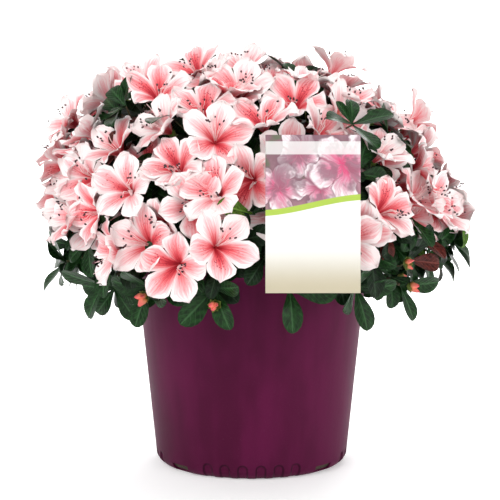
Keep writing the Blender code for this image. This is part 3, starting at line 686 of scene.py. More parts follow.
# ---- the crown's plan -------------------------------------------------------
def bearing(azimuth, elevation):
    """Unit direction from the hub; azimuth 0 is the front and grows towards +X."""
    turn, rise = math.radians(azimuth), math.radians(elevation)
    return Vector((math.sin(turn) * math.cos(rise), -math.cos(turn) * math.cos(rise), math.sin(rise)))


def spiral(count, lowest, spin):
    """Directions dealt evenly over the dome down to the lowest elevation."""
    low = math.sin(math.radians(lowest))
    for index in range(count):
        height = 1.0 - (1.0 - low) * (index + 0.5) / count
        turn = index * GOLDEN_ANGLE + spin
        flat = math.sqrt(1.0 - height * height)
        yield Vector((math.sin(turn) * flat, -math.cos(turn) * flat, height))


def crown_plan():
    """The masses, each with its name, ring, axis from the hub and reach."""
    masses = []
    for ring, (elevation, first, reaches) in RINGS.items():
        for index, reach in enumerate(reaches):
            azimuth = first + 360.0 * index / len(reaches)
            suffix = "" if len(reaches) == 1 else f"_{index + 1}"
            masses.append({"name": ring + suffix, "ring": ring, "axis": bearing(azimuth, elevation),
                           "reach": reach})
    for mass in masses:
        others = [other["axis"] for other in masses if other is not mass]
        mass["walls"] = [(axis - mass["axis"]).normalized() for axis in others]
        mass["core"] = HUB + mass["axis"] * mass["reach"] * CORE_AT
        if mass["ring"] == "lower":
            mass["core"] += UP * LOW_CORE_LIFT
    return masses


def reach_at(direction, masses):
    """Reach of the surface: a blend of the masses' reaches round about, and the sprays."""
    weights = [math.exp(REACH_BLEND * direction.dot(mass["axis"])) for mass in masses]
    dome = sum(w * mass["reach"] for w, mass in zip(weights, masses)) / sum(weights)
    sprays = [rise * math.exp(SPRAY_BLEND * (direction.dot(bearing(azimuth, elevation)) - 1.0))
              for azimuth, elevation, rise in SPRAYS]
    return dome + sum(sprays)


def from_sideways(direction):
    """Degrees between straight sideways and the direction, seen from above."""
    return math.degrees(math.atan2(abs(direction.y), abs(direction.x)))


def under_side(direction, lowest=SIDE_LOWEST):
    """True for directions below the crown's raised edge at its two sides."""
    return from_sideways(direction) <= SIDE_SPREAD and direction.z <= math.sin(math.radians(lowest))


def owner_of(direction, masses):
    """The mass whose side of all the planes the direction lies on."""
    return max(masses, key=lambda mass: direction.dot(mass["axis"]))


def deal_sites(masses):
    """Deal bloom sites over the dome; leafy shoots take some of them."""
    for mass in masses:
        mass["sites"] = []
        mass["leafy"] = []
    for site in spiral(SITE_COUNT, LOWEST_SITE, SITE_SPIN):
        owner_of(site, masses)["sites"].append(site)
    for azimuth, elevation in LEAFY_BEARINGS:
        spot = bearing(azimuth, elevation)
        mass = owner_of(spot, masses)
        nearest = max(mass["sites"], key=spot.dot)
        mass["sites"].remove(nearest)
        mass["leafy"].append(nearest)
    for mass in masses:
        mass["sites"] = [site for site in mass["sites"] if not under_side(site)]


def group_sites(mass):
    """Cut a mass's sites into trusses of about three, by their bearing round its axis."""
    axis = mass["axis"]
    side = axis.cross(UP if abs(axis.z) < 0.9 else Vector((0.0, 1.0, 0.0))).normalized()
    other = axis.cross(side)
    ordered = sorted(mass["sites"], key=lambda site: math.atan2(site.dot(other), site.dot(side)))
    count = max(1, round(len(ordered) / TRUSS_SIZE))
    return [ordered[len(ordered) * i // count:len(ordered) * (i + 1) // count] for i in range(count)]


# ---- what foliage keeps clear of --------------------------------------------
def wall_radius(height):
    """Outside radius of the pot's tapered wall."""
    share = (height - FOOT_ROUND) / (POT_HEIGHT - RIM_HEIGHT - FOOT_ROUND)
    return FOOT_RADIUS + (TOP_RADIUS - FOOT_RADIUS) * share


def clear_of_pot(point):
    """True outside the pot, and inside it over the mix."""
    across = math.hypot(point.x, point.y)
    if point.z > POT_HEIGHT + LEAF_CLEARANCE or across > RIM_RADIUS + LEAF_CLEARANCE:
        return True
    inner = wall_radius(SOIL_LEVEL) - WALL - LEAF_CLEARANCE
    return across < inner and point.z > SOIL_LEVEL + LEAF_CLEARANCE


def leg_path():
    """Middle line of the leg's edge, (y, z): card, over the rim, and down to the potting mix."""
    over = POT_HEIGHT + GAP + CARD_THICK / 2.0
    rim = -math.sqrt(RIM_RADIUS ** 2 - CARD_MIDDLE ** 2)
    foot = SOIL_LEVEL + GAP + CARD_THICK / 2.0
    return [(CARD_DEPTH, POT_HEIGHT - LEG_CARD_DROP), (rim - LEG_ON_RIM, over),
            (rim + LEG_ON_RIM, over), (rim + LEG_ON_RIM + LEG_FOOT, foot)]


@functools.lru_cache(maxsize=1)
def label_boxes():
    """Boxes that foliage keeps out of: on and in front of the card, and round the leg."""
    side = LEAF_CLEARANCE
    low = Vector((CARD_LOW.x - side, CARD_DEPTH - FRONT_OF_CARD, CARD_LOW.z - side))
    high = Vector((CARD_HIGH.x + side, CARD_DEPTH + CARD_THICK / 2.0 + side, CARD_HIGH.z + side))
    half = LEG_WIDTH / 2.0 + side
    leg = (Vector((CARD_MIDDLE - half, CARD_DEPTH, POT_HEIGHT - LEG_CARD_DROP - side)),
           Vector((CARD_MIDDLE + half, leg_path()[-1][0] + side, POT_HEIGHT + CARD_THICK + side)))
    return (low, high), leg


def clear_of_label(point):
    """True outside the label's boxes."""
    return not any(all(low[i] < point[i] < high[i] for i in range(3)) for low, high in label_boxes())


def box_tree(low, high):
    """The faces of a box, to test whether others cut them."""
    spans = list(zip(low, high))
    corners = [Vector((x, y, z)) for x in spans[0] for y in spans[1] for z in spans[2]]
    faces = [(0, 1, 3, 2), (4, 5, 7, 6), (0, 1, 5, 4), (2, 3, 7, 6), (0, 2, 6, 4), (1, 3, 7, 5)]
    return BVHTree.FromPolygons(corners, faces)


def clear_of_limbs(point, limbs):
    """True where the point is clear of every limb, each a line with a radius."""
    for start, end, radius in limbs:
        along = end - start
        share = max(0.0, min(1.0, (point - start).dot(along) / along.length_squared))
        if (point - start - along * share).length < radius + LEAF_CLEARANCE:
            return False
    return True


# ---- growth rule ------------------------------------------------------------
def frame_about(direction, spin):
    """Rotation that takes +Z to the direction, turned about it by the spin."""
    return direction.to_track_quat("Z", "Y").to_matrix() @ Matrix.Rotation(spin, 3, "Z")


def bloom_points(mouth, facing, spin, size=1.0):
    """Rim of the bloom, a sinus and two shoulders a lobe, then its tube ring and throat."""
    turn = frame_about(facing, spin) * size
    rim, ring = [], []
    for lobe in range(LOBES):
        middle = math.tau * lobe / LOBES
        for angle, radius, height in (
            (middle - math.pi / LOBES, SINUS_RADIUS, -SINUS_DROP),
            (middle - LOBE_SHOULDER, LOBE_RADIUS, 0.0),
            (middle + LOBE_SHOULDER, LOBE_RADIUS, 0.0),
        ):
            rim.append(mouth + turn @ polar(radius, angle, height))
        ring.append(mouth + turn @ polar(TUBE_RADIUS, middle, -BLOOM_DEPTH))
    return rim + ring + [mouth - facing * THROAT_DROP * size]


def funnel_faces():
    """Triangles between the points of a bloom: all but the tail that closes it behind."""
    throat = 4 * LOBES
    faces = []
    for lobe in range(LOBES):
        sinus, left, right = 3 * lobe, 3 * lobe + 1, 3 * lobe + 2
        next_sinus = (sinus + 3) % (3 * LOBES)
        here, after = 3 * LOBES + lobe, 3 * LOBES + (lobe + 1) % LOBES
        faces += [(throat, sinus, left), (throat, left, right), (throat, right, next_sinus)]
        faces += [(here, left, sinus), (here, right, left)]
        faces += [(here, next_sinus, right), (here, after, next_sinus)]
    return faces


def bloom_faces():
    """The funnel's faces and the tail that closes it, from its foot, which is the last point."""
    foot = 4 * LOBES + 1
    tail = [(foot, 3 * LOBES + (lobe + 1) % LOBES, 3 * LOBES + lobe) for lobe in range(LOBES)]
    return funnel_faces() + tail


def leaf_points(root, direction, normal, length):
    """Points that stand for a leaf when its place is tested."""
    side = direction.cross(normal).normalized() * (LEAF_WIDTH / 2.0 + LEAF_MARGIN)
    middle = root + direction * length / 2.0
    rise = normal * (LEAF_THICK / 2.0 + LEAF_MARGIN)
    sunk = middle - normal * LEAF_FOLD
    spine = [root + direction * length * share for share in LEAF_TEST_SHARES]
    return spine + [middle + side, middle - side, sunk + rise, sunk - rise]


class Space:
    """What one mass's foliage may fill.

    All spaces share the list of what is placed, the label and each bloom: (mass, middle, tree of faces).
    """

    def __init__(self, mass, masses, limbs, placed):
        self.mass = mass
        self.masses = masses
        self.limbs = limbs
        self.placed = placed

    def within_walls(self, points):
        """True where all points keep to this mass's side of the planes."""
        walls = self.mass["walls"]
        return all((point - HUB).dot(wall) <= -CELL_GAP for point in points for wall in walls)

    def clear(self, points):
        """True where all points are clear of pot, label and limbs."""
        return all(clear_of_pot(point) and clear_of_label(point) and clear_of_limbs(point, self.limbs)
                   for point in points)

    def crosses(self, points, faces, others_only=False):
        """True where the faces cut the label or a bloom, which may have to be another mass's."""
        tree = BVHTree.FromPolygons(points, faces)
        return any(tree.overlap(other) for owner, middle, other in self.placed
                   if (middle - points[0]).length < NEAR_BLOOMS
                   and not (others_only and owner is self.mass))

    def cuts_label(self, points, faces):
        """True where the faces cut the room that the label needs."""
        tree = BVHTree.FromPolygons(points, faces)
        return any(tree.overlap(other) for owner, _, other in self.placed if owner is None)

    def keep(self, mouth, points, faces):
        """Add a bloom to what is placed."""
        self.placed.append((self.mass, mouth, BVHTree.FromPolygons(points, faces)))


def leaf_way(turn, tilt):
    """Direction and upper side of a leaf that leans from +Z by the tilt, and is then turned."""
    return (turn @ Vector((math.sin(tilt), 0.0, math.cos(tilt))),
            turn @ Vector((-math.cos(tilt), 0.0, math.sin(tilt))))


def whorl(tip, outward, count, lean, space, rng):
    """Leaves that spread about the outward direction from one shoot tip."""
    leaves = []
    start = rng.uniform(0.0, math.tau)
    for index in range(count):
        spin = start + math.tau * index / count + rng.uniform(-LEAF_TURN, LEAF_TURN)
        turn = frame_about(outward, spin)
        first_tilt = lean + rng.uniform(-LEAF_LEAN, LEAF_LEAN)
        length = LEAF_LENGTH * rng.uniform(*LEAF_LENGTHS)
        for attempt in range(LEAF_TRIES):
            direction, normal = leaf_way(turn, first_tilt + LEAF_TILT * attempt)
            root = tip + direction * NODE_START
            points = leaf_points(root, direction, normal, length)
            if not (space.within_walls(points) and space.clear(points)):
                continue
            if not space.crosses(points, LEAF_TEST_FACES):
                leaves.append((root, direction, normal, length))
                break
    return leaves


def place_bloom(site, tip, space, rng):
    """A bloom at its site, drawn back or turned until it fits; None where it never does."""
    first_depth = rng.uniform(*MOUTH_DEPTHS)
    first_spin = rng.uniform(0.0, math.tau)
    second_best = None
    for back in range(BACK_STEPS):
        mouth = HUB + site * (reach_at(site, space.masses) - first_depth - DRAW_BACK * back)
        away = (mouth - tip).normalized()
        facing = (site * (1.0 - FACING_SPREAD) + away * FACING_SPREAD).normalized()
        if (mouth - tip).dot(facing) < BLOOM_DEPTH + NODE_RADIUS:
            break
        foot = tip + away * NODE_START
        for turn in range(SPIN_STEPS):
            spin = first_spin + turn * math.tau / LOBES / SPIN_STEPS
            points = bloom_points(mouth, facing, spin) + [foot]
            wider = [mouth + (point - mouth) * BLOOM_CLEARANCE for point in points]
            if not space.clear(points) or space.crosses(wider, bloom_faces(), others_only=True):
                continue
            bloom = (mouth, facing, spin, foot, 1.0)
            if not space.crosses(points, funnel_faces()):
                space.keep(mouth, points, bloom_faces())
                return bloom
            second_best = second_best or (points, bloom)
    if second_best is None:
        return None
    space.keep(second_best[1][0], second_best[0], bloom_faces())
    return second_best[1]


def grow_blooms(mass, space, rng):
    """Trusses of one mass: shoot tips with the blooms that open round them."""
    shoots, blooms, whorls = [], [], []
    for truss in group_sites(mass):
        middle = sum(truss, Vector()).normalized()
        tip = HUB + middle * (reach_at(middle, space.masses) - TRUSS_DEPTH)
        found = [place_bloom(site, tip, space, rng) for site in truss]
        shoots.append(tip)
        blooms += [bloom for bloom in found if bloom]
        whorls.append((tip, middle, TRUSS_LEAVES, TRUSS_LEAN))
    return {"shoots": shoots, "blooms": blooms, "whorls": whorls}


def grow_leaves(mass, plan, space, rng):
    """Leaves of one mass, under its blooms, on its bloomless shoots and on the crown's skirt."""
    leaves = []
    for tip, outward, count, lean in plan["whorls"]:
        leaves += whorl(tip, outward, count, lean, space, rng)
    more = [(HUB + spot * (reach_at(spot, space.masses) - WHORL_DEPTH), spot, WHORL_LEAVES, WHORL_LEAN)
            for spot in mass["leafy"]]
    for index in range(SKIRT_COUNT):
        spot = bearing(360.0 * (index + 0.5) / SKIRT_COUNT, SKIRT_ELEVATION)
        if owner_of(spot, space.masses) is mass and from_sideways(spot) > SKIRT_PARTING:
            outward = (spot - UP * SKIRT_DROOP).normalized()
            more.append((HUB + spot * SKIRT_REACH, outward, SKIRT_LEAVES, SKIRT_LEAN))
    for tip, outward, count, lean in more:
        along = [mass["core"].lerp(tip, share) for share in TWIG_TEST_SHARES]
        side = outward.cross(tip - mass["core"]).normalized() * TWIG_RADIUS
        blade = along + [tip + side, tip - side]
        free = space.within_walls(along) and space.clear(along)
        if free and not space.crosses(blade, TWIG_TEST_FACES):
            plan["shoots"].append(tip)
            leaves += whorl(tip, outward, count, lean, space, rng)
    plan["leaves"] = leaves


# ---- finer growth within the same reach -------------------------------------
def near_leafy(site, mass):
    """True where a bloom at the site would cover one of the mass's leafy shoots."""
    return any(site.angle(spot) < LEAFY_KEPT_OPEN for spot in mass["leafy"])


def fill_bloom(site, reach, space, rng):
    """A bloom set in a gap, at most that far out, and None where none fits."""
    tilt = Vector([rng.uniform(low, 1.0) for low in (-1.0, -1.0, -0.6)]) * FILL_TILT
    facing = (site + tilt).normalized()
    first_spin = rng.uniform(0.0, math.tau)
    for size in FILL_SCALES:
        for depth in FILL_DEPTHS:
            mouth = HUB + site * (reach - depth - MOUTH_DEPTHS[0])
            for turn in range(2):
                spin = first_spin + turn * math.pi / LOBES
                points = bloom_points(mouth, facing, spin, size * FILL_OVERLAP)
                whole = bloom_points(mouth, facing, spin, size * FILL_WHOLE)
                if not space.clear(points + whole) or space.cuts_label(whole, funnel_faces()):
                    continue
                if not space.crosses(points, funnel_faces()):
                    space.keep(mouth, points, funnel_faces())
                    foot = mouth - facing * BLOOM_DEPTH * size * 1.5 - site * FILL_STALK
                    return (mouth, facing, spin, foot, size)
    return None


def grow_second_flush(masses, spaces, plans):
    """Fill the gaps between the blooms, but not over the leafy shoots."""
    names = [mass["name"] for mass in masses]
    first, rng = random.Random(FILL_SEED + 1), random.Random(FILL_SEED)
    sites = [(bearing(azimuth, elevation), reach, first)
             for azimuth, elevation, reach in STANDING_BLOOMS]
    sites += [(site, reach_at(site, masses), rng)
              for site in spiral(FILL_SITES, FILL_LOWEST, FILL_SPIN) if not under_side(site)]
    for site, reach, draw in sites:
        mass = owner_of(site, masses)
        index = names.index(mass["name"])
        if near_leafy(site, mass):
            continue
        bloom = fill_bloom(site, reach, spaces[index], draw)
        if bloom:
            plans[index]["blooms"].append(bloom)


def grow_finer_shoots(masses, spaces, plans):
    """Leafy shoots behind the flowers, and deeper ones that close the view into the crown."""
    rng = random.Random(FINER_SEED)
    names = [mass["name"] for mass in masses]
    for layer, (count, lowest, depths, leaves, lean) in FINER_SHOOTS.items():
        for site in spiral(count, lowest, rng.uniform(0.0, math.tau)):
            mass = owner_of(site, masses)
            index = names.index(mass["name"])
            plan = plans[index]
            tip = HUB + site * (reach_at(site, masses) - rng.uniform(*depths))
            if under_side(site, FINER_SIDE_LOWEST) or not (clear_of_pot(tip) and clear_of_label(tip)):
                continue
            outward = (site + TO_LIGHT * max(0.0, site.dot(TO_LIGHT))).normalized()
            found = loose_whorl(tip, outward, leaves, lean, spaces[index], rng, layer == "outer")
            if found:
                plan["fine_shoots"].append(tip)
                plan["fine_leaves"] += found
    for place, outward, leaves, age in CLEAR_SHOOTS:
        tip, way = Vector(place), Vector(outward).normalized()
        index = names.index(owner_of((tip - HUB).normalized(), masses)["name"])
        plans[index]["fine_shoots"].append(tip)
        found = loose_whorl(tip, way, leaves, CLEAR_LEAN, spaces[index], rng, True)
        plans[index]["clear_leaves"] += [("leaves_" + age, leaf) for leaf in found]


def loose_whorl(tip, outward, count, lean, space, rng, test_blooms):
    """Leaves of a finer shoot, which may lean into the next mass but not through a bloom."""
    leaves = []
    start = rng.uniform(0.0, math.tau)
    for index in range(count):
        spin = start + math.tau * index / count + rng.uniform(-FINER_TURN, FINER_TURN)
        tilt = lean + rng.uniform(-FINER_LEAN, FINER_LEAN)
        length = LEAF_LENGTH * rng.uniform(*FINER_LENGTHS)
        direction, normal = leaf_way(frame_about(outward, spin), tilt)
        points = leaf_points(tip, direction, normal, length)
        if not all(clear_of_pot(point) and clear_of_label(point) for point in points):
            continue
        if test_blooms and space.crosses(points, LEAF_TEST_FACES):
            continue
        leaves.append((tip + direction * NODE_START, direction, normal, length))
    return leaves


@functools.lru_cache(maxsize=1)
def grown_shrub():
    """The masses and, for each, what grows on it: first as in its solid, then finer."""
    masses = crown_plan()
    deal_sites(masses)
    limbs = [limb for mass in masses for limb in bough_limbs(mass)]
    placed = []
    for low, high in label_boxes():
        placed.append((None, (low + high) / 2.0, box_tree(low, high)))
    spaces = [Space(mass, masses, limbs, placed) for mass in masses]
    plans = [grow_blooms(mass, space, random.Random(FIRST_SEED + index))
             for index, (mass, space) in enumerate(zip(masses, spaces))]
    for index, (mass, space, plan) in enumerate(zip(masses, spaces, plans)):
        grow_leaves(mass, plan, space, random.Random(LEAF_SEED + index))
        plan["fine_shoots"] = []
        plan["fine_leaves"] = []
        plan["clear_leaves"] = []
    grow_second_flush(masses, spaces, plans)
    grow_finer_shoots(masses, spaces, plans)
    return masses, plans


def trunk_point(height):
    """Point on the trunk's leaning axis, that height above the potting mix."""
    share = max(0.0, height - FLARE_HEIGHT) / (TRUNK_HEIGHT - FLARE_HEIGHT)
    return UP * (SOIL_LEVEL + GAP + height) + TRUNK_LEAN * share * share


def bough_path(mass):
    """From the trunk's axis or its top, by one bend, to just short of the mass's core."""
    if mass["ring"] == "crown":
        top = trunk_point(TRUNK_HEIGHT)
        along = (top - trunk_point(TRUNK_SHAPE[-2][0])).normalized()
        start = top + along * GAP
        bend = start + along * CROWN_BOUGH_STRAIGHT
    else:
        start = trunk_point(BOUGH_FROM[mass["ring"]])
        line = mass["core"] - start
        bend = start + line * BOUGH_BEND_AT + UP * line.length * BOUGH_LIFT
    inward = (bend - mass["core"]).normalized()
    return [start, bend, mass["core"] + inward * (CORE_RADIAL + STEM_LENGTH)]


def bough_limbs(mass):
    """The bough's two straight lengths, each (start, end, radius), for foliage to keep clear of."""
    start, bend, end = bough_path(mass)
    return [(start, bend, BOUGH_RADIUS), (bend, end, BOUGH_RADIUS)]


# ---- trees that build -------------------------------------------------------
def scatter_tree(name, collection, finish):
    """Shapes of the collection on points with the attributes kind, turn and size."""
    tree, given = new_tree(name, size=1.0)
    placed = instances(tree, collection, {
        "Points": given["Geometry"], "Instance Index": attribute(tree, "kind", "INT"),
        "Rotation": attribute(tree, "turn", "QUATERNION"),
        "Scale": attribute(tree, "size", "FLOAT") * given["Size"]})
    return end_tree(tree, placed, finish)


def scattered(name, places, shapes, finish):
    """Mesh of the shapes on places, each (point, quaternion, size, kind)."""
    mesh = bpy.data.meshes.new(name)
    mesh.from_pydata([place[0] for place in places], [], [])
    labels = {
        "turn": ("QUATERNION", [part for place in places for part in place[1]]),
        "size": ("FLOAT", [place[2] for place in places]),
        "kind": ("INT", [place[3] for place in places]),
    }
    for label, (kind, given) in labels.items():
        mesh.attributes.new(label, kind, "POINT").data.foreach_set("value", given)
    obj = loose_object(name, mesh)
    with shelf(name + "_shapes", shapes) as collection:
        use_tree(obj, scatter_tree(name, collection, finish))
        result = settled(obj)
    for label in labels:
        if label in result.attributes:
            result.attributes.remove(result.attributes[label])
    return result


def limb_tree(name, finish):
    """Round limbs along edges with the attribute thickness, with ridges of bark."""
    tree, given = new_tree(name, sides=8, steps=4, relief=0.0, relief_size=0.006)
    curve = value(tree, "GeometryNodeMeshToCurve", {0: given["Geometry"]})
    bent = value(tree, "GeometryNodeCurveSplineType", {"Curve": curve}, spline_type="CATMULL_ROM")
    fine = value(tree, "GeometryNodeSetSplineResolution", {0: bent, "Resolution": given["Steps"]})
    ring = value(tree, "GeometryNodeCurvePrimitiveCircle", {
        "Resolution": given["Sides"], "Radius": 1.0})
    tube = value(tree, "GeometryNodeCurveToMesh", {
        "Curve": fine, "Profile Curve": ring, "Scale": attribute(tree, "thickness", "FLOAT"),
        "Fill Caps": True})
    stretched = vectors("MULTIPLY", value(tree, "GeometryNodeInputPosition"), (1.0, 1.0, 0.35))
    ridges = noise(stretched, 1.0 / given["Relief Size"], 2.0)
    rise = (ridges - 0.5) * given["Relief"]
    move = vectors("SCALE", value(tree, "GeometryNodeInputNormal"), scale=rise)
    moved = value(tree, "GeometryNodeSetPosition", {"Geometry": tube, "Offset": move})
    return end_tree(tree, moved, finish)


def limbs_along(name, paths, finish, sides, steps, relief=0.0, relief_size=0.006):
    """Mesh of limbs along paths, each a list of (point, radius)."""
    points, edges, radii = [], [], []
    for path in paths:
        first = len(points)
        points += [point for point, _ in path]
        radii += [radius for _, radius in path]
        edges += [(first + i, first + i + 1) for i in range(len(path) - 1)]
    mesh = bpy.data.meshes.new(name)
    mesh.from_pydata(points, edges, [])
    mesh.attributes.new("thickness", "FLOAT", "POINT").data.foreach_set("value", radii)
    obj = loose_object(name, mesh)
    use_tree(obj, limb_tree(name, finish), sides=sides, steps=steps, relief=relief,
             relief_size=relief_size)
    return settled(obj)


def arch_edge(place, arches, pitch, width, height):
    """Distance out from the nearest arch's outline, and 1 where the place is among the arches."""
    x, y, z = split_xyz(place)
    quarter = maths("WRAP", maths("ARCTAN2", y, x), math.pi / 4.0, -math.pi / 4.0)
    from_first = quarter * FOOT_RADIUS / pitch + arches * 0.5
    within = (from_first > 0.0) * (from_first < arches)
    aside = (maths("FRACT", from_first) - 0.5) * pitch
    half = width * 0.5
    above = maths("MAXIMUM", z - (height - half), 0.0)
    return vectors("LENGTH", join_xyz(aside, above)) - half, within


def arch_tree(name, finish):
    """Shallow arches round a foot, pressed in from outside, the same in each quarter."""
    tree, given = new_tree(name, arches=6, pitch=0.02, width=0.01, height=0.016, depth=0.0012)
    place = value(tree, "GeometryNodeInputPosition")
    edge, within = arch_edge(place, given["Arches"], given["Pitch"], given["Width"], given["Height"])
    outward = vectors("NORMALIZE", vectors("MULTIPLY", place, (1.0, 1.0, 0.0)))
    facing = vectors("DOT_PRODUCT", value(tree, "GeometryNodeInputNormal"), outward) > 0.05
    depth = smooth_step(edge, 0.0005, -0.0007) * within * (facing * (given["Depth"] * -1.0))
    move = vectors("SCALE", outward, scale=depth)
    moved = value(tree, "GeometryNodeSetPosition", {"Geometry": given["Geometry"], "Offset": move})
    return end_tree(tree, moved, finish)


def chip_tree(name, collection, finish):
    """Chips strewn over the faces that look up."""
    tree, given = new_tree(name, density=9000.0, seed=7, above=0.2, within=0.1)
    place = value(tree, "GeometryNodeInputPosition")
    away = vectors("LENGTH", vectors("MULTIPLY", place, (1.0, 1.0, 0.0)))
    chosen = (split_xyz(place)[2] > given["Above"]) * (away < given["Within"])
    spots = value(tree, "GeometryNodeDistributePointsOnFaces", {
        "Mesh": given["Geometry"], "Selection": chosen, "Density": given["Density"],
        "Seed": given["Seed"]})
    angles = {0: (-0.45, -0.45, 0.0), 1: (0.45, 0.45, math.tau), "Seed": given["Seed"]}
    turn = value(tree, "FunctionNodeRandomValue", angles, data_type="FLOAT_VECTOR")
    sizes = {2: 0.45, 3: 1.25, "Seed": given["Seed"]}
    size = value(tree, "FunctionNodeRandomValue", sizes, 1, data_type="FLOAT")
    placed = instances(tree, collection, {"Points": spots, "Rotation": turn, "Scale": size})
    return end_tree(tree, placed, finish)


# ---- finishes ---------------------------------------------------------------
def plastic_finish(settings):
    """Blow-moulded plum plastic, mottled and slightly uneven, with a scuffed sheen, dust specks and
    painted shade along the outlines of the foot's arches.
    """
    made, tree, shader = new_finish("plum_plastic", 0.50, Specular_IOR_Level=0.06)
    place = object_place(tree)
    broad = noise(vectors("MULTIPLY", place, (1.0, 1.0, 0.45)), 14.0, 3.0, 0.6)
    flow = noise(vectors("MULTIPLY", place, (1.0, 1.0, 0.08)), 60.0, 2.0)
    dust = noise(place, 900.0, 2.0, 0.7)
    tone = broad * 0.75 + flow * 0.25
    base = mix(smooth_step(tone, 0.36, 0.64), settings.shade, settings.plastic)
    dust_and_groove_shade = mix(smooth_step(dust, 0.6, 0.78) * 0.08, base, (0.3, 0.14, 0.2))
    edge, within = arch_edge(place, float(settings.arch_count), settings.arch_pitch,
                             settings.arch_width, settings.arch_height)
    # painted shade: a dark line along each arch's outline, which stands in for the shadow in its groove
    line = smooth_step(abs(edge), 0.0016, 0.0003) * within
    dust_and_groove_shade = mix(line * 0.6, dust_and_groove_shade, (0.01, 0.0015, 0.006))
    heights = noise(place, 260.0, 2.0) * 0.4 + flow
    rough = value(tree, "ShaderNodeMapRange", {"Value": broad, "To Min": 0.44, "To Max": 0.58})
    paint(shader, dust_and_groove_shade, bump(heights, 0.16, 0.0012), rough)
    return made


def bark_mix_finish(settings):
    """Dark composted bark, browner on its crumbs."""
    made, tree, shader = new_finish("bark_mix", 0.95)
    place = object_place(tree)
    crumbs = noise(place, 240.0, 5.0, 0.7)
    broad = noise(place, 40.0)
    brown = mix(smooth_step(crumbs, 0.35, 0.7), (0.016, 0.01, 0.007), settings.bark)
    colour = mix(broad * 0.4, brown, (0.1, 0.065, 0.04))
    paint(shader, colour, bump(crumbs, 0.8, 0.002))
    return made


def bark_finish(name, light, dark, green=None):
    """Ridged bark of limbs, lighter on the ridges, which may go green in patches."""
    made, tree, shader = new_finish(name, 0.82)
    place = object_place(tree)
    long_grain = vectors("MULTIPLY", place, (1.0, 1.0, 0.3))
    ridges = noise(long_grain, 420.0, 4.0, 0.6)
    patches = noise(place, 60.0)
    colour = mix(smooth_step(ridges, 0.35, 0.65), dark, light)
    if green is not None:
        colour = mix(smooth_step(patches, 0.4, 0.62), colour, green)
    paint(shader, colour, bump(ridges, 0.6, 0.0008))
    return made


def petal_finish(settings):
    """Coral rays from the throat that fade to a pale margin, by the charts of the lobes."""
    made, tree, shader = new_finish("petals", 0.55, Specular_IOR_Level=0.30)
    column, row, across, along = chart_place(tree)
    side = abs(across - 0.5) * SIDE_SCALE
    spot_row = row > SPOTTED_ROW - 0.5
    low_rows = row < 1.5
    key = column * 7.0 + row * 3.0
    rays = noise(join_xyz(across * 17.0, along * 2.0, key), 1.0, 4.0, 0.66)
    veins = noise(join_xyz(across * 42.0, along * 3.0, key), 1.0, 2.0)
    reach = along + side ** 2.0 * 0.4 + (rays - 0.5) * 0.95
    reach = reach + low_rows * 0.15 - spot_row * 0.08 + (column - 1.5) * 0.055
    salmon = tuple(0.55 * a + 0.45 * b for a, b in zip(settings.coral, settings.blush))
    colour = ramp(reach, (
        (0.20, settings.throat), (0.42, settings.coral), (0.59, salmon), (0.76, settings.blush),
        (0.98, settings.margin)))
    rim = maths("MAXIMUM", smooth_step(side, 0.66, 0.92), smooth_step(along, 0.84, 0.96))
    rim = rim * smooth_step(along, 0.38, 0.6)
    colour = mix(rim * 0.7, colour, settings.margin)
    faint = smooth_step(veins, 0.52, 0.7) * 0.28
    colour = mix(faint, colour, mix(0.5, colour, settings.coral))
    cells = value(tree, "ShaderNodeTexVoronoi", {
        "Vector": join_xyz(across * 15.0, along * 20.0, key), "Scale": 1.0, "Randomness": 1.0})
    dots = smooth_step(cells, 0.36, 0.22)
    ground = smooth_step(along, 0.28, 0.38) * smooth_step(along, 0.76, 0.62)
    ground = ground * smooth_step(side, 0.62, 0.38)
    share = maths("MAXIMUM", spot_row, (1.0 - low_rows) * 0.35)
    colour = mix(dots * ground * share, colour, settings.blotch)
    paint(shader, colour, bump(rays + veins, 0.5, 0.001))
    return made


def leaf_finish(name, base):
    """Waxy leaf with a paler midrib and side veins, by its chart."""
    made, tree, shader = new_finish(name, 0.29, Specular_IOR_Level=0.14)
    column, _, across, along = chart_place(tree)
    side = abs(across - 0.5) * SIDE_SCALE
    slant = along * 8.0 - side * 2.0
    rib = abs(maths("FRACT", slant) - 0.5)
    side_vein = smooth_step(rib, 0.1, 0.02)
    midrib = smooth_step(side, 0.14, 0.03)
    mottle = noise(join_xyz(across * 6.0, along * 9.0, column), 1.0, 3.0)
    deep = tuple(part * 0.30 for part in base)
    pale = tuple(min(1.0, part * 1.7 + 0.02) for part in base)
    colour = mix(smooth_step(mottle, 0.34, 0.72), deep, base)
    colour = mix(side_vein * 0.3, colour, pale)
    colour = mix(midrib * 0.7, colour, pale)
    height = mottle * 0.6 - (midrib + side_vein)
    paint(shader, colour, bump(height, 0.4, 0.0006))
    return made


def speckled_finish(name, base, other, roughness, size):
    """Small parts of a flower or bud: two shades in fine patches."""
    made, tree, shader = new_finish(name, roughness)
    grain = noise(object_place(tree), size, 3.0)
    colour = mix(smooth_step(grain, 0.38, 0.64), base, other)
    paint(shader, colour, bump(grain, 0.3, 0.0004))
    return made


def bud_finish():
    """Furled buds: streaks of coral and orange-pink wound about them."""
    made, tree, shader = new_finish("bud_petals", 0.50)
    column, _, across, along = chart_place(tree)
    wound = across * 9.0 + along * 3.0
    streak = noise(join_xyz(wound, along * 1.5, column), 1.0, 3.0)
    tip = ramp(along + (streak - 0.5) * 0.5, (
        (0.10, (0.26, 0.24, 0.04)), (0.34, (0.62, 0.22, 0.05)), (0.60, (0.78, 0.22, 0.13)),
        (0.95, (0.70, 0.08, 0.10))))
    paint(shader, tip, bump(streak, 0.4, 0.001))
    return made


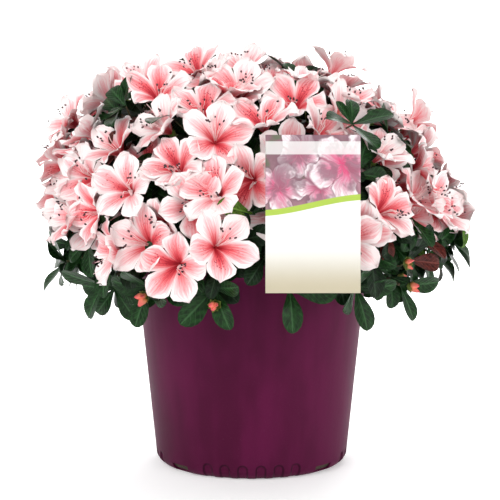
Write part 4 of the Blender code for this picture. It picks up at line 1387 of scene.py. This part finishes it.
def label_finish(settings):
    """Printed card: pale border, dusky panel with rosettes, lime band, and a foot that goes cream."""
    made, tree, shader = new_finish("label_card", 0.38, Coat_Weight=0.25, Coat_Roughness=0.18)
    place = object_place(tree)
    x, y, z = split_xyz(place)
    across = x - CARD_MIDDLE
    up = z - CARD_LOW.z
    wide, tall = (CARD_HIGH.x - CARD_LOW.x) / 2.0, CARD_HIGH.z - CARD_LOW.z
    swell = maths("SINE", across * (1.3 / wide))
    edge = swell * (tall * 0.052) + tall * 0.58
    soft = noise(place, 28.0, 4.0, 0.6)
    dim = smooth_step(noise(place, 52.0, 3.0, 0.6), 0.45, 0.57) * 0.72
    dusky = tuple(part * 0.55 for part in settings.panel)
    panel = mix(smooth_step(soft, 0.36, 0.62), dusky, settings.panel)
    panel = mix(smooth_step(noise(place, 46.0, 2.0), 0.56, 0.66) * 0.75, panel, (0.07, 0.12, 0.05))
    warp = (noise(place, 70.0, 2.0) - 0.5) * 0.016
    for share_x, share_z, radius, turn in (
        (-0.30, 0.88, 0.022, 0.9), (-0.74, 0.66, 0.026, 0.2), (0.10, 0.68, 0.022, 1.3),
        (0.66, 0.80, 0.034, 0.6),
    ):
        off_x = across - wide * share_x + warp
        off_z = up - tall * share_z - warp
        angle = maths("ARCTAN2", off_z, off_x) * 2.5 + turn
        bulge = abs(maths("COSINE", angle))
        outline = (maths("SQRT", bulge) * 0.55 + 0.45) * radius
        away = vectors("LENGTH", join_xyz(off_x, off_z))
        share = away / outline
        rays = noise(join_xyz(angle * 2.2, share, share_x), 2.2, 3.0)
        inner = share + (rays - 0.5) * 0.9
        petal = ramp(inner, (
            (0.08, settings.rosette), (0.34, (0.56, 0.16, 0.26)), (0.66, (0.56, 0.34, 0.40)),
            (0.96, (0.76, 0.68, 0.70))))
        petal = mix(dim, petal, (0.18, 0.09, 0.12))
        petal = mix(smooth_step(bulge, 0.4, 0.05), petal, (0.36, 0.12, 0.18))
        shade = smooth_step(share, 1.3, 0.95) * 0.7
        panel = mix(shade, panel, (0.16, 0.07, 0.1))
        panel = mix(smooth_step(share, 1.04, 0.95), panel, petal)
    strip = smooth_step(up, tall * 0.875, tall * 0.878) * smooth_step(up, tall * 0.96, tall * 0.957)
    panel = mix(strip * 0.62, panel, settings.paper)
    foot = mix(smooth_step(up, tall * 0.36, tall * 0.02), settings.paper, settings.cream)
    fibre = noise(place, 700.0, 2.0)
    foot = mix(fibre * 0.05, foot, (0.5, 0.47, 0.4))
    above = up - edge
    colour = mix(smooth_step(above, -0.0068, -0.0063), foot, settings.band)
    colour = mix(smooth_step(above, -0.001, -0.0005), colour, panel)
    front = y < CARD_LOW.y + CARD_THICK * 0.4
    colour = mix(front, foot, colour)
    paint(shader, colour, bump(fibre, 0.08, 0.0003))
    return made


# ---- shapes that repeat -----------------------------------------------------
def shares(steps):
    """Even shares from 0 to 1."""
    return [step / steps for step in range(steps + 1)]


def smooth_share(given, low, high):
    """0 below low and 1 above high, eased between."""
    share = max(0.0, min(1.0, (given - low) / (high - low)))
    return share * share * (3.0 - 2.0 * share)


def funnel_at(share):
    """Radius and height of a lobe's middle line, that share of the way from the tube's base."""
    for (v0, r0, z0), (v1, r1, z1) in zip(FUNNEL, FUNNEL[1:]):
        if share <= v1:
            part = (share - v0) / (v1 - v0)
            return r0 + (r1 - r0) * part, z0 + (z1 - z0) * part
    return FUNNEL[-1][1:]


def lobe_point(v, u, shape, openness):
    """Point of a lobe whose middle line runs along +X: v from base to tip, u across, -1 to 1."""
    radius, height = funnel_at(v)
    radius *= shape["length"] if v > 0.4 else 1.0
    half = math.pi / LOBES
    fused = polar(radius, half * u, height)
    past = max(0.0, (v - 0.70) / 0.30)
    widest = 0.0153 * shape["width"]
    width = widest * (max(0.0, 1.0 - past ** 1.6) ** 0.76 + 0.05 * past)
    width *= 0.52 + 0.48 * smooth_share(v, 0.34, 0.68)
    edge = abs(u) ** 1.6
    wave = math.sin(shape["phase"] + (15.5 * v if u > 0 else 13.3 * v + 2.0)) * edge
    wave *= smooth_share(v, 0.42, 0.70)
    crest = math.sin(shape["phase"] * 1.7 + 5.5 * u) * smooth_share(v, 0.86, 1.0) * 0.8
    lift = shape["ruffle"] * (wave + crest)
    lift += 0.0016 * u * u * smooth_share(v, 0.4, 0.8)
    crease = math.exp(-(u / 0.16) ** 2)
    lift -= 0.0012 * crease * smooth_share(v, 0.3, 0.6) * (1.0 - smooth_share(v, 0.85, 1.0))
    lift += shape["curl"] * smooth_share(v, 0.65, 1.0) ** 2
    free = Vector((
        radius - 0.0018 * u * u * smooth_share(v, 0.75, 1.0), u * width + shape["sway"] * v * v,
        height + lift + shape["twist"] * u * smooth_share(v, 0.5, 1.0)))
    point = fused.lerp(free, smooth_share(v, 0.40, 0.74))
    if openness < 1.0:
        closing = smooth_share(v, 0.3, 1.0) * (1.0 - openness)
        point = Vector((point.x * (1.0 - 0.62 * closing), point.y * (1.0 - 0.35 * closing),
                        point.z + 0.016 * closing))
    return point


def flower_mesh(form, settings):
    """Five ruffled lobes on one tube; the first lobe is the spotted one."""
    rng = random.Random(SEEDS["flower"] + form)
    openness = 1.0 if form < OPEN_FORMS else HALF_OPEN[form - OPEN_FORMS]
    rows = ((), (2,), (0, 1), (0, 1), (2,))    # charts that each further lobe may take

    def build(bm):
        for lobe in range(LOBES):
            shape = {
                "length": rng.uniform(0.94, 1.03), "width": rng.uniform(0.92, 1.05),
                "phase": rng.uniform(0.0, math.tau),
                "ruffle": settings.ruffle * rng.uniform(0.7, 1.25),
                "curl": rng.uniform(-0.0055, 0.0025), "sway": rng.uniform(-0.0012, 0.0012),
                "twist": rng.uniform(-0.0018, 0.0018),
            }
            row = rng.choice(rows[lobe]) if lobe else SPOTTED_ROW
            step = 0.0004 * (1 if lobe % 2 else -1)
            turn = Matrix.Rotation(math.tau * lobe / LOBES, 3, "Z")

            def point_at(v, across):
                point = lobe_point(v, 2.0 * across - 1.0, shape, openness)
                point.z += step * smooth_share(v, 0.4, 0.7)
                return turn @ point

            add_sheet(bm, (form % ATLAS, row), LOBE_ROWS, shares(LOBE_COLUMNS), point_at)
    return mesh_of(f"flower_{form}", build)


def stamen_paths(form, rng, settings):
    """Middle lines of the filaments and, last, the longer pistil, from the tube's base."""
    reach = 1.0 if form < OPEN_FORMS else 0.55
    paths = []
    for index in range(7):
        side = rng.uniform(-1.25, 1.25) + math.pi
        out = rng.uniform(0.006, 0.019) * reach
        top = rng.uniform(-0.001, 0.007)
        if index == 6:
            side, out, top = math.pi + rng.uniform(-0.3, 0.3), 0.021 * reach, 0.009
        start = polar(0.0012, side, -0.0225)
        bend = polar(0.35 * out, side, -0.006)
        end = polar(out, side, top)
        middle = bend.lerp(end, 0.55) + polar(0.0010, side, -0.0016)
        thick = settings.filament_radius
        paths.append([(start, thick * 1.3), (bend, thick), (middle, thick), (end, thick * 0.8)])
    return paths


def anther_mesh(ends, settings):
    """Small oblong sacs on the filaments' ends."""
    def build(bm):
        for index, (end, direction) in enumerate(ends):
            turn = direction.to_track_quat("Z", "Y").to_matrix()
            turn @= Matrix.Rotation(1.1 + index, 3, "X")
            made = bmesh.ops.create_icosphere(bm, subdivisions=1, radius=1.0)
            half = settings.anther_length / 2.0
            for vert in made["verts"]:
                co = Vector((vert.co.x * half * 0.60, vert.co.y * half * 0.60, vert.co.z * half))
                vert.co = end + turn @ co
    return mesh_of("anthers", build)


def calyx_mesh():
    """Five small sepals at the base of the tube."""
    def build(bm):
        base = [(0.0011, -0.0300), (0.0034, -0.0276), (0.0046, -0.0236)]
        rings = []
        for level, (radius, height) in enumerate(base):
            ring = []
            for step in range(10):
                angle = math.tau * step / 10
                out = radius * (1.25 if level == 2 and step % 2 else 1.0)
                rise = 0.0022 if level == 2 and step % 2 else 0.0
                ring.append(bm.verts.new(polar(out, angle, height + rise)))
            rings.append(ring)
        for low, high in zip(rings, rings[1:]):
            for step in range(10):
                after = (step + 1) % 10
                bm.faces.new((low[step], low[after], high[after], high[step]))
        bm.faces.new(list(reversed(rings[0])))
    return mesh_of("calyx", build)


def leaf_blade(form, settings):
    """Obovate blade one unit long along +Y, folded on its midrib and curled."""
    rng = random.Random(SEEDS["blade"] + form)
    fold = settings.fold * rng.uniform(0.6, 1.4)
    curl = settings.curl * rng.uniform(0.5, 1.7)
    wave = rng.uniform(0.0, math.tau)

    def point_at(t, across):
        u = 2.0 * across - 1.0
        past = max(0.0, (t - 0.66) / 0.34)
        width = BLADE_HALF_WIDTH * (0.10 + 0.90 * smooth_share(t, -0.05, 0.66)) * (
            max(0.0, 1.0 - past ** 2.2) ** 0.55 + 0.05 * past)
        drop = -curl * t * t + 0.02 * math.sin(wave + 7.0 * t) * abs(u)
        height = drop + abs(u) * width * math.sin(fold) - 0.03 * u * u * t
        return Vector((u * width * math.cos(fold), t * (1.0 - 0.06 * curl), height))

    def build(bm):
        add_sheet(bm, (form % ATLAS, 0), BLADE_ROWS, shares(4)[::-1], point_at)
        for face in bm.faces:
            face.normal_update()
            if face.normal.z < 0.0:
                face.normal_flip()
    return mesh_of(f"leaf_{form}", build)


def bud_mesh(form):
    """Furled bud along +Z, its overlapping edges wound about it, one unit long."""
    plump = (0.20, 0.24, 0.17)[form]

    def point_at(t, across):
        angle = math.tau * across + 1.3 * t
        crest = 1.0 + 0.09 * math.cos(5.0 * math.tau * across)
        radius = plump * (math.sin(math.pi * (0.06 + 0.90 * t ** 0.85)) ** 0.8) * crest
        return polar(radius, angle, t)

    def build(bm):
        add_sheet(bm, (form, 0), shares(7), shares(12), point_at)
        bmesh.ops.remove_doubles(bm, verts=bm.verts, dist=0.0001)
        bmesh.ops.recalc_face_normals(bm, faces=bm.faces)
    return mesh_of(f"bud_{form}", build)


def chip_mesh(form):
    """Flat crumb of bark."""
    rng = random.Random(SEEDS["chip"] + form)

    def build(bm):
        bmesh.ops.create_cube(bm, size=1.0)
        bmesh.ops.bevel(bm, geom=bm.edges[:], offset=0.16, segments=1, affect="EDGES")
        for vert in bm.verts:
            vert.co.x *= 0.0115 * rng.uniform(0.75, 1.2)
            vert.co.y *= 0.0062 * rng.uniform(0.75, 1.2)
            vert.co.z *= 0.0024 * rng.uniform(0.75, 1.25)
    return mesh_of(f"chip_{form}", build)


# ---- pieces -----------------------------------------------------------------
def pressed(mesh):
    """The mesh with what would grow into the card bent round behind it."""
    behind = CARD_DEPTH + CARD_THICK / 2.0 + PRESS_GAP
    half = (CARD_HIGH.x - CARD_LOW.x) / 2.0
    for vert in mesh.vertices:
        x, y, z = vert.co
        aside = max(abs(x - CARD_MIDDLE) - half, CARD_LOW.z - z, z - CARD_HIGH.z, 0.0)
        if aside < PRESS_EASE and behind - PRESS_DEPTH < y < behind:
            vert.co.y += (behind - y) * (1.0 - smooth_share(aside, PRESS_GAP, PRESS_EASE))
    return mesh


def bloom_places(ring=None):
    """(point, turn, size, form) of every bloom, or of one ring's."""
    masses, plans = grown_shrub()
    places = []
    rng = random.Random(SEEDS["forms"])
    for mass, plan in zip(masses, plans):
        for mouth, facing, spin, _, size in plan["blooms"]:
            form = rng.randrange(OPEN_FORMS)
            if size < 1.0 and rng.random() < HALF_OPEN_SHARE:
                form = OPEN_FORMS + rng.randrange(ALL_FORMS - OPEN_FORMS)
            if ring is None or mass["ring"] == ring:
                places.append((mouth, frame_about(facing, spin).to_quaternion(), size, form))
    return places


def leaf_place(leaf, form):
    root, direction, normal, length = leaf
    turn = Matrix((direction.cross(normal), direction, normal)).transposed()
    return (root, turn.to_quaternion(), length, form)


def make_pot_piece(settings):
    """The pot: tapered wall, rolled rim, rounded foot, drain notches and arches."""
    lip = POT_HEIGHT - RIM_HEIGHT
    inner_foot = FOOT_RADIUS - FOOT_ROUND
    profile = [(0.0, WALL)] + list(spread((0.0, WALL), (inner_foot, WALL), 6))
    profile += list(arc((inner_foot, FOOT_ROUND), FOOT_ROUND - WALL, -90.0, 0.0, 6))
    wall_inside = (wall_radius(lip) - WALL, lip)
    profile += list(spread((FOOT_RADIUS - WALL, FOOT_ROUND), wall_inside, 10))
    profile += [wall_inside, (RIM_RADIUS - RIM_THICK, lip + RIM_THICK)]
    bead = RIM_THICK / 2.0
    profile += list(arc((RIM_RADIUS - bead, POT_HEIGHT - bead), bead, 180.0, 0.0, 10))
    profile += [(RIM_RADIUS - 0.0004, POT_HEIGHT - 0.0050), (RIM_RADIUS - 0.0005, lip + 0.0030)]
    profile += list(arc((RIM_RADIUS - 0.0014, lip + 0.0012), 0.0012, 0.0, -90.0, 4))
    profile += [(wall_radius(lip) + 0.0012, lip), (wall_radius(lip) + 0.0003, lip - 0.0006)]
    heights = [0.22, 0.18, 0.14, 0.10, 0.06, 0.035, 0.024, 0.0195]
    heights += [FOOT_ROUND + 0.0015 * step for step in (4, 3, 2, 1)]
    profile += [(wall_radius(height), height) for height in heights]
    profile += list(arc((inner_foot, FOOT_ROUND), FOOT_ROUND, 0.0, -90.0, 9))
    profile += list(spread((inner_foot, 0.0), (0.0, 0.0), 6)) + [(0.0, 0.0)]
    finish = plastic_finish(settings)
    pot = turned_mesh("pot_shell", profile, POT_STEPS)
    use_tree(pot, arch_tree("foot_arches", finish), arches=settings.arch_count,
             pitch=settings.arch_pitch, width=settings.arch_width, height=settings.arch_height,
             depth=settings.arch_depth)
    cutters = []
    reach = RIM_RADIUS - NOTCH_FROM_RADIUS
    for index in range(NOTCH_COUNT):
        turn = Matrix.Rotation(math.radians(45.0) + math.tau * index / NOTCH_COUNT, 4, "Z")
        place = turn @ Matrix.Translation((NOTCH_FROM_RADIUS + reach / 2.0, 0.0, 0.0))
        size = Matrix.Diagonal((reach, NOTCH_WIDTH, 2.0 * NOTCH_HEIGHT, 1.0))
        box = mesh_of("notch", lambda bm: bmesh.ops.create_cube(bm, size=1.0))
        box.transform(place @ size)
        cutters.append(loose_object("notch", box))
        cut = pot.modifiers.new("notch", "BOOLEAN")
        cut.operation = "DIFFERENCE"
        cut.solver = "EXACT"
        cut.object = cutters[-1]
    mesh = settled(pot)
    for cutter in cutters:
        bpy.data.objects.remove(cutter, do_unlink=True)
    mesh.set_sharp_from_angle(angle=math.radians(50.0))
    add_piece("pot_shell", mesh, ["pot"], finish)


def make_mix_piece(settings):
    """The bed of bark mix, humped and crumbly, and loose chips on it."""
    finish = bark_mix_finish(settings)
    inside = WALL + GAP
    top = wall_radius(SOIL_LEVEL) - inside
    rng = random.Random(settings.chip_seed)
    profile = [(0.0, SOIL_LEVEL)] + list(spread((0.0, SOIL_LEVEL), (top, SOIL_LEVEL), 34))
    profile += [(top, SOIL_LEVEL), (FOOT_RADIUS - inside, FOOT_ROUND)]
    foot = (FOOT_RADIUS - FOOT_ROUND, FOOT_ROUND)
    profile += list(arc(foot, FOOT_ROUND - inside, 0.0, -90.0, 4))[1:]
    profile.append((0.0, inside))
    bed = turned_mesh("bark_mix_bed", profile, MIX_STEPS)
    mesh = settled(bed)
    for vert in mesh.vertices:
        across = math.hypot(vert.co.x, vert.co.y)
        if vert.co.z > SOIL_LEVEL - 0.001 and across < top - 0.001:
            vert.co.z -= rng.uniform(0.0, 0.0030)
    mesh.shade_smooth()
    add_piece("bark_mix_bed", mesh, ["potting_mix"], finish)

    strewn = loose_object("bark_chips", mesh.copy())
    with shelf("chips", [chip_mesh(form) for form in range(CHIP_FORMS)]) as collection:
        use_tree(strewn, chip_tree("chips", collection, finish), density=settings.chip_density,
                 seed=settings.chip_seed, above=SOIL_LEVEL - 0.006, within=top - 0.008)
        chips = settled(strewn)
    add_piece("bark_chips", chips, ["potting_mix"], finish)


def make_limb_pieces(settings):
    """Trunk and boughs under one skin of ridged bark."""
    finish = bark_finish("old_bark", settings.bark, (0.030, 0.019, 0.013))
    trunk = [(trunk_point(height), radius) for height, radius in TRUNK_SHAPE]
    paths = [trunk]
    for mass in grown_shrub()[0]:
        radii = (BOUGH_RADIUS, (BOUGH_RADIUS + BOUGH_TIP_RADIUS) / 2.0, BOUGH_TIP_RADIUS)
        start, bend, end = bough_path(mass)
        line = [start, start.lerp(bend, 0.5), bend, bend.lerp(end, 0.5), end,
                end.lerp(mass["core"], 0.35)]
        thick = (radii[0], radii[0], radii[1], radii[1], radii[2], radii[2] * 0.9)
        paths.append(list(zip(line, thick)))
    mesh = limbs_along("trunk_and_boughs", paths, finish, 16, 7, settings.relief, settings.relief_size)
    add_piece("trunk_and_boughs", mesh, LIMBS, finish)


def twig_paths(mass, plan):
    """Twigs from the bough's end by shared forks to each shoot, with a slight zigzag."""
    rng = random.Random(SEEDS["twigs"])
    start = bough_path(mass)[-1].lerp(mass["core"], 0.3)
    forks, paths = [start], []
    for tips, thick, thin in ((plan["shoots"], 0.0026, 0.0015), (plan["fine_shoots"], 0.0014, 0.0009)):
        reached = []
        for tip in tips:
            near = min(forks, key=lambda fork: (fork - tip).length)
            span = (near - tip).length
            if span < 0.004 or span > 0.17:
                continue
            bends = [near]
            for share in (0.35, 0.70):
                shift = Vector([rng.uniform(-1.0, 1.0) for _ in range(3)]) * span * 0.045
                bends.append(near.lerp(tip, share) + shift)
            bends.append(tip)
            reached += bends[1:3]
            thicks = [thick + (thin - thick) * step / 3.0 for step in range(4)]
            paths.append(list(zip(bends, thicks)))
        forks += reached
    return paths


def make_twig_pieces(settings):
    """Woody twigs inside the crown and green shoots under the flowers."""
    masses, plans = grown_shrub()
    woody = bark_finish("twig_bark", settings.bark, (0.040, 0.026, 0.018), (0.075, 0.085, 0.030))
    paths = [path for mass, plan in zip(masses, plans) for path in twig_paths(mass, plan)]
    twigs = limbs_along("woody_twigs", paths, woody, 6, 2)
    add_piece("woody_twigs", twigs, MASSES, woody)
    green = bark_finish("young_bark", settings.young, tuple(part * 0.5 for part in settings.young))
    paths = []
    for plan in plans:
        for mouth, facing, _, foot, size in plan["blooms"]:
            base = mouth - facing * TUBE_LENGTH * size
            middle = base.lerp(foot, 0.5) - facing * 0.002
            paths.append([(foot, 0.0011), (middle, 0.0010), (base, 0.0010)])
    stalks = limbs_along("flower_stalks", paths, green, 5, 2)
    add_piece("flower_stalks", stalks, MASSES, green)


def make_bloom_pieces(settings):
    """Open and half-open flowers, the crown's, the upper ring's and the lower ring's."""
    finish = petal_finish(settings)
    shapes = [flower_mesh(form, settings) for form in range(ALL_FORMS)]
    for ring in RINGS:
        nodes = [name for name in MASSES if name.startswith("mass_" + ring)]
        mesh = pressed(scattered("petals_" + ring, bloom_places(ring), shapes, finish))
        add_piece("petals_" + ring, mesh, nodes, finish)


def make_stamen_pieces(settings):
    """Filaments, anthers and the sepals behind each flower."""
    rng = random.Random(SEEDS["stamens"])
    pale = speckled_finish("filaments", (0.93, 0.62, 0.62), (0.97, 0.80, 0.78), 0.5, 300.0)
    dark = speckled_finish("anthers", (0.020, 0.006, 0.008), (0.075, 0.016, 0.022), 0.55, 900.0)
    green = speckled_finish("sepals", (0.10, 0.17, 0.03), (0.17, 0.26, 0.05), 0.6, 300.0)
    threads, sacs = [], []
    for form in range(ALL_FORMS):
        paths = stamen_paths(form, rng, settings)
        threads.append(limbs_along(f"filaments_{form}", paths, pale, 3, 2))
        ends = [(path[-1][0], (path[-1][0] - path[-2][0]).normalized()) for path in paths[:-1]]
        sacs.append(anther_mesh(ends, settings))
    places = bloom_places()
    for name, shapes, finish in (("filaments", threads, pale), ("anthers", sacs, dark)):
        add_piece(name, pressed(scattered(name, places, shapes, finish)), MASSES, finish)
    sepals = scattered("sepals", places, [calyx_mesh()] * ALL_FORMS, green)
    add_piece("sepals", sepals, MASSES, green)


def make_leaf_pieces(settings):
    """Leaves by age: old and dark, grown, young, and a few that turn bronze."""
    rng = random.Random(SEEDS["ages"])
    shapes = [leaf_blade(form, settings) for form in range(ATLAS)]
    groups = {"leaves_old": [], "leaves_grown": [], "leaves_young": [], "leaves_bronze": []}
    for plan in grown_shrub()[1]:
        for leaf in plan["leaves"]:
            groups["leaves_grown"].append(leaf_place(leaf, rng.randrange(ATLAS)))
        for leaf in plan["fine_leaves"]:
            draw = rng.random()
            age = next(age for age, share in LEAF_AGES if draw < share)
            groups[age].append(leaf_place(leaf, rng.randrange(ATLAS)))
        for age, leaf in plan["clear_leaves"]:
            groups[age].append(leaf_place(leaf, rng.randrange(ATLAS)))
    tints = {"leaves_old": settings.dark, "leaves_grown": settings.mid,
             "leaves_young": settings.young, "leaves_bronze": settings.bronze}
    for name, places in groups.items():
        finish = leaf_finish(name, tints[name])
        add_piece(name, scattered(name, places, shapes, finish), MASSES, finish)


def make_bud_pieces():
    """Clusters of furled buds with green scales at their feet."""
    masses, _ = grown_shrub()
    rng = random.Random(SEEDS["buds"])
    places, feet = [], []
    for azimuth, elevation in BUD_BEARINGS:
        spot = bearing(azimuth, elevation)
        base = HUB + spot * (reach_at(spot, masses) - 0.030)
        if elevation < -6.0:
            base = HUB + spot * (SKIRT_REACH + 0.008)
        for index in range(BUDS_IN_CLUSTER):
            turn = frame_about(spot, rng.uniform(0.0, 1.0) + math.tau * index / BUDS_IN_CLUSTER)
            lean = rng.uniform(0.25, 0.55)
            way = turn @ Vector((math.sin(lean), 0.0, math.cos(lean)))
            quaternion = way.to_track_quat("Z", "Y")
            length = rng.uniform(0.011, 0.017)
            places.append((base, quaternion, length, rng.randrange(BUD_FORMS)))
            feet.append((base + way * TUBE_LENGTH, quaternion, 1.0, 0))
    finish = bud_finish()
    mesh = scattered("flower_buds", places, [bud_mesh(form) for form in range(BUD_FORMS)], finish)
    add_piece("flower_buds", mesh, MASSES, finish)
    scales = speckled_finish("bud_scales", (0.12, 0.18, 0.03), (0.20, 0.24, 0.06), 0.6, 300.0)
    mesh = scattered("bud_scales", feet, [calyx_mesh()], scales)
    add_piece("bud_scales", mesh, MASSES, scales)


def make_label_piece(settings):
    """A card on a flat leg over the rim."""
    def build_card(bm):
        size = Vector((CARD_HIGH.x - CARD_LOW.x, CARD_THICK, CARD_HIGH.z - CARD_LOW.z))
        place = Matrix.Translation(CARD_LOW + size / 2.0) @ Matrix.Diagonal((*size, 1.0))
        bmesh.ops.create_cube(bm, size=1.0, matrix=place)
        bmesh.ops.bevel(bm, geom=bm.edges[:], offset=0.00025, segments=2, affect="EDGES")

    def build_leg(bm):
        line = leg_path()
        verts = []
        for index, (y, z) in enumerate(line):
            before, after = line[max(0, index - 1)], line[min(len(line) - 1, index + 1)]
            run = Vector((0.0, after[0] - before[0], after[1] - before[1])).normalized()
            across = Vector((0.0, -run.z, run.y)) * CARD_THICK / 2.0
            middle = Vector((CARD_MIDDLE, y + (CARD_THICK * 0.5 if index == 0 else 0.0), z))
            half = Vector((LEG_WIDTH / 2.0, 0.0, 0.0))
            verts.append([bm.verts.new(middle + s * half + t * across)
                          for s, t in ((-1, -1), (1, -1), (1, 1), (-1, 1))])
        for a, b in zip(verts, verts[1:]):
            for i in range(4):
                bm.faces.new((a[i], a[(i + 1) % 4], b[(i + 1) % 4], b[i]))
        bm.faces.new(verts[0][::-1])
        bm.faces.new(verts[-1])
        bmesh.ops.recalc_face_normals(bm, faces=bm.faces)
        bmesh.ops.bevel(bm, geom=bm.edges[:], offset=0.0002, segments=1, affect="EDGES")

    finish = label_finish(settings)
    for name, build in (("label_card", build_card), ("label_leg", build_leg)):
        mesh = mesh_of(name, build)
        mesh.set_sharp_from_angle(angle=math.radians(60.0))
        add_piece(name, mesh, ["plant_label"], finish)


def make_stage(settings):
    """Pale floor that sweeps up behind, soft lights and the camera."""
    def build(bm):
        sweep = list(arc((2.2, 0.8), 0.8, -90.0, 0.0, 12))[1:]
        profile = [(-4.0, 0.0), (2.2, 0.0), *sweep, (3.0, 4.0)]
        rows = [[bm.verts.new((x, y, z)) for x in (-5.0, 5.0)] for y, z in profile]
        for low, high in zip(rows, rows[1:]):
            bm.faces.new((low[0], low[1], high[1], high[0]))
    floor = loose_object("stage_floor", mesh_of("stage_floor", build))
    made, tree, shader = new_finish("stage_paper", 0.9)
    grain = noise(object_place(tree), 3.0, 2.0)
    paint(shader, mix(grain * 0.02, settings.floor, (0.8, 0.8, 0.8)))
    shader.inputs["Emission Color"].default_value = (1.0, 1.0, 1.0, 1.0)
    # far from the lights the paper glows by itself, so that it stays white all round
    glow = smooth_step(vectors("LENGTH", object_place(tree)), 1.6, 3.2, settings.glow, 1.0)
    tree.links.new(glow.socket, shader.inputs["Emission Strength"])
    floor.data.materials.append(made)

    scene = bpy.context.scene
    scene.world = bpy.data.worlds.new("soft_studio")
    scene.world.use_nodes = True
    tree = scene.world.node_tree
    rise = split_xyz(value(tree, "ShaderNodeTexCoord", output="Generated"))[2]
    light = smooth_step(rise, 0.42, 0.26, settings.sky, 1.0)
    tree.links.new(light.socket, tree.nodes["Background"].inputs["Color"])
    scene.view_settings.view_transform = "Standard"
    for name, place, size, power in (
        ("key", (-1.5, -2.0, 1.9), 1.5, settings.key),
        ("fill", (1.9, -1.7, 1.0), 1.8, settings.fill),
        ("top", (0.2, -0.1, 2.3), 1.6, settings.top),
        ("back", (0.4, 1.9, 1.7), 1.6, settings.back),
    ):
        light = bpy.data.lights.new(name, "AREA")
        light.energy = power
        light.size = size
        lamp = bpy.data.objects.new(name, light)
        scene.collection.objects.link(lamp)
        lamp.location = place
        lamp.rotation_euler = (HUB - Vector(place)).to_track_quat("-Z", "Y").to_euler()
    camera = bpy.data.cameras.new("camera")
    camera.lens = settings.lens
    camera.sensor_width = 36.0
    camera.clip_start = 0.01
    view = bpy.data.objects.new("camera", camera)
    scene.collection.objects.link(view)
    view.location = settings.camera_place
    view.rotation_euler = (math.pi / 2.0, 0.0, 0.0)
    scene.camera = view


# ---- operators and panel ----------------------------------------------------
class SHRUB_OT_pot(bpy.types.Operator):
    """Make the nursery pot"""
    bl_idname = "shrub.pot"
    bl_label = "Pot"

    def execute(self, context):
        make_pot_piece(context.scene.shrub_pot)
        return {"FINISHED"}


class SHRUB_OT_mix(bpy.types.Operator):
    """Fill the pot with bark mix and chips"""
    bl_idname = "shrub.mix"
    bl_label = "Bark mix"

    def execute(self, context):
        make_mix_piece(context.scene.shrub_mix)
        return {"FINISHED"}


class SHRUB_OT_limbs(bpy.types.Operator):
    """Make the trunk and its boughs"""
    bl_idname = "shrub.limbs"
    bl_label = "Trunk and boughs"

    def execute(self, context):
        make_limb_pieces(context.scene.shrub_limbs)
        return {"FINISHED"}


class SHRUB_OT_twigs(bpy.types.Operator):
    """Make the twigs and the flowers' stalks"""
    bl_idname = "shrub.twigs"
    bl_label = "Twigs and stalks"

    def execute(self, context):
        make_twig_pieces(context.scene.shrub_limbs)
        return {"FINISHED"}


class SHRUB_OT_blooms(bpy.types.Operator):
    """Open the flowers"""
    bl_idname = "shrub.blooms"
    bl_label = "Flowers"

    def execute(self, context):
        make_bloom_pieces(context.scene.shrub_blooms)
        return {"FINISHED"}


class SHRUB_OT_stamens(bpy.types.Operator):
    """Make filaments, anthers and sepals"""
    bl_idname = "shrub.stamens"
    bl_label = "Stamens and sepals"

    def execute(self, context):
        make_stamen_pieces(context.scene.shrub_blooms)
        return {"FINISHED"}


class SHRUB_OT_buds(bpy.types.Operator):
    """Set the clusters of buds"""
    bl_idname = "shrub.buds"
    bl_label = "Buds"

    def execute(self, context):
        make_bud_pieces()
        return {"FINISHED"}


class SHRUB_OT_leaves(bpy.types.Operator):
    """Set the leaves"""
    bl_idname = "shrub.leaves"
    bl_label = "Leaves"

    def execute(self, context):
        make_leaf_pieces(context.scene.shrub_leaves)
        return {"FINISHED"}


class SHRUB_OT_label(bpy.types.Operator):
    """Make the plant label"""
    bl_idname = "shrub.label"
    bl_label = "Label"

    def execute(self, context):
        make_label_piece(context.scene.shrub_label)
        return {"FINISHED"}


class SHRUB_OT_stage(bpy.types.Operator):
    """Lay the floor and set lights and camera"""
    bl_idname = "shrub.stage"
    bl_label = "Stage"

    def execute(self, context):
        make_stage(context.scene.shrub_stage)
        return {"FINISHED"}


STEPS = (SHRUB_OT_pot, SHRUB_OT_mix, SHRUB_OT_limbs, SHRUB_OT_twigs, SHRUB_OT_blooms, SHRUB_OT_stamens,
         SHRUB_OT_buds, SHRUB_OT_leaves, SHRUB_OT_label, SHRUB_OT_stage)
SETTINGS = {"shrub_pot": PotSettings, "shrub_mix": MixSettings, "shrub_limbs": LimbSettings,
            "shrub_blooms": BloomSettings, "shrub_leaves": LeafSettings, "shrub_label": LabelSettings,
            "shrub_stage": StageSettings}


class SHRUB_PT_steps(bpy.types.Panel):
    """The steps, in the order in which they run"""
    bl_label = "Azalea shrub"
    bl_space_type = "VIEW_3D"
    bl_region_type = "UI"
    bl_category = "Shrub"

    def draw(self, context):
        for step in STEPS:
            self.layout.operator(step.bl_idname)
        for name, kind in SETTINGS.items():
            box = self.layout.box()
            box.label(text=kind.__doc__)
            for key in kind.__annotations__:
                box.prop(getattr(context.scene, name), key)


def register():
    for kind in (*SETTINGS.values(), *STEPS, SHRUB_PT_steps):
        bpy.utils.register_class(kind)
    for name, kind in SETTINGS.items():
        setattr(bpy.types.Scene, name, PointerProperty(type=kind))


def unregister():
    for name in SETTINGS:
        delattr(bpy.types.Scene, name)
    for kind in reversed((*SETTINGS.values(), *STEPS, SHRUB_PT_steps)):
        bpy.utils.unregister_class(kind)


def main():
    register()
    for step in STEPS:
        group, action = step.bl_idname.split(".")
        getattr(getattr(bpy.ops, group), action)()


if __name__ == "__main__":
    main()
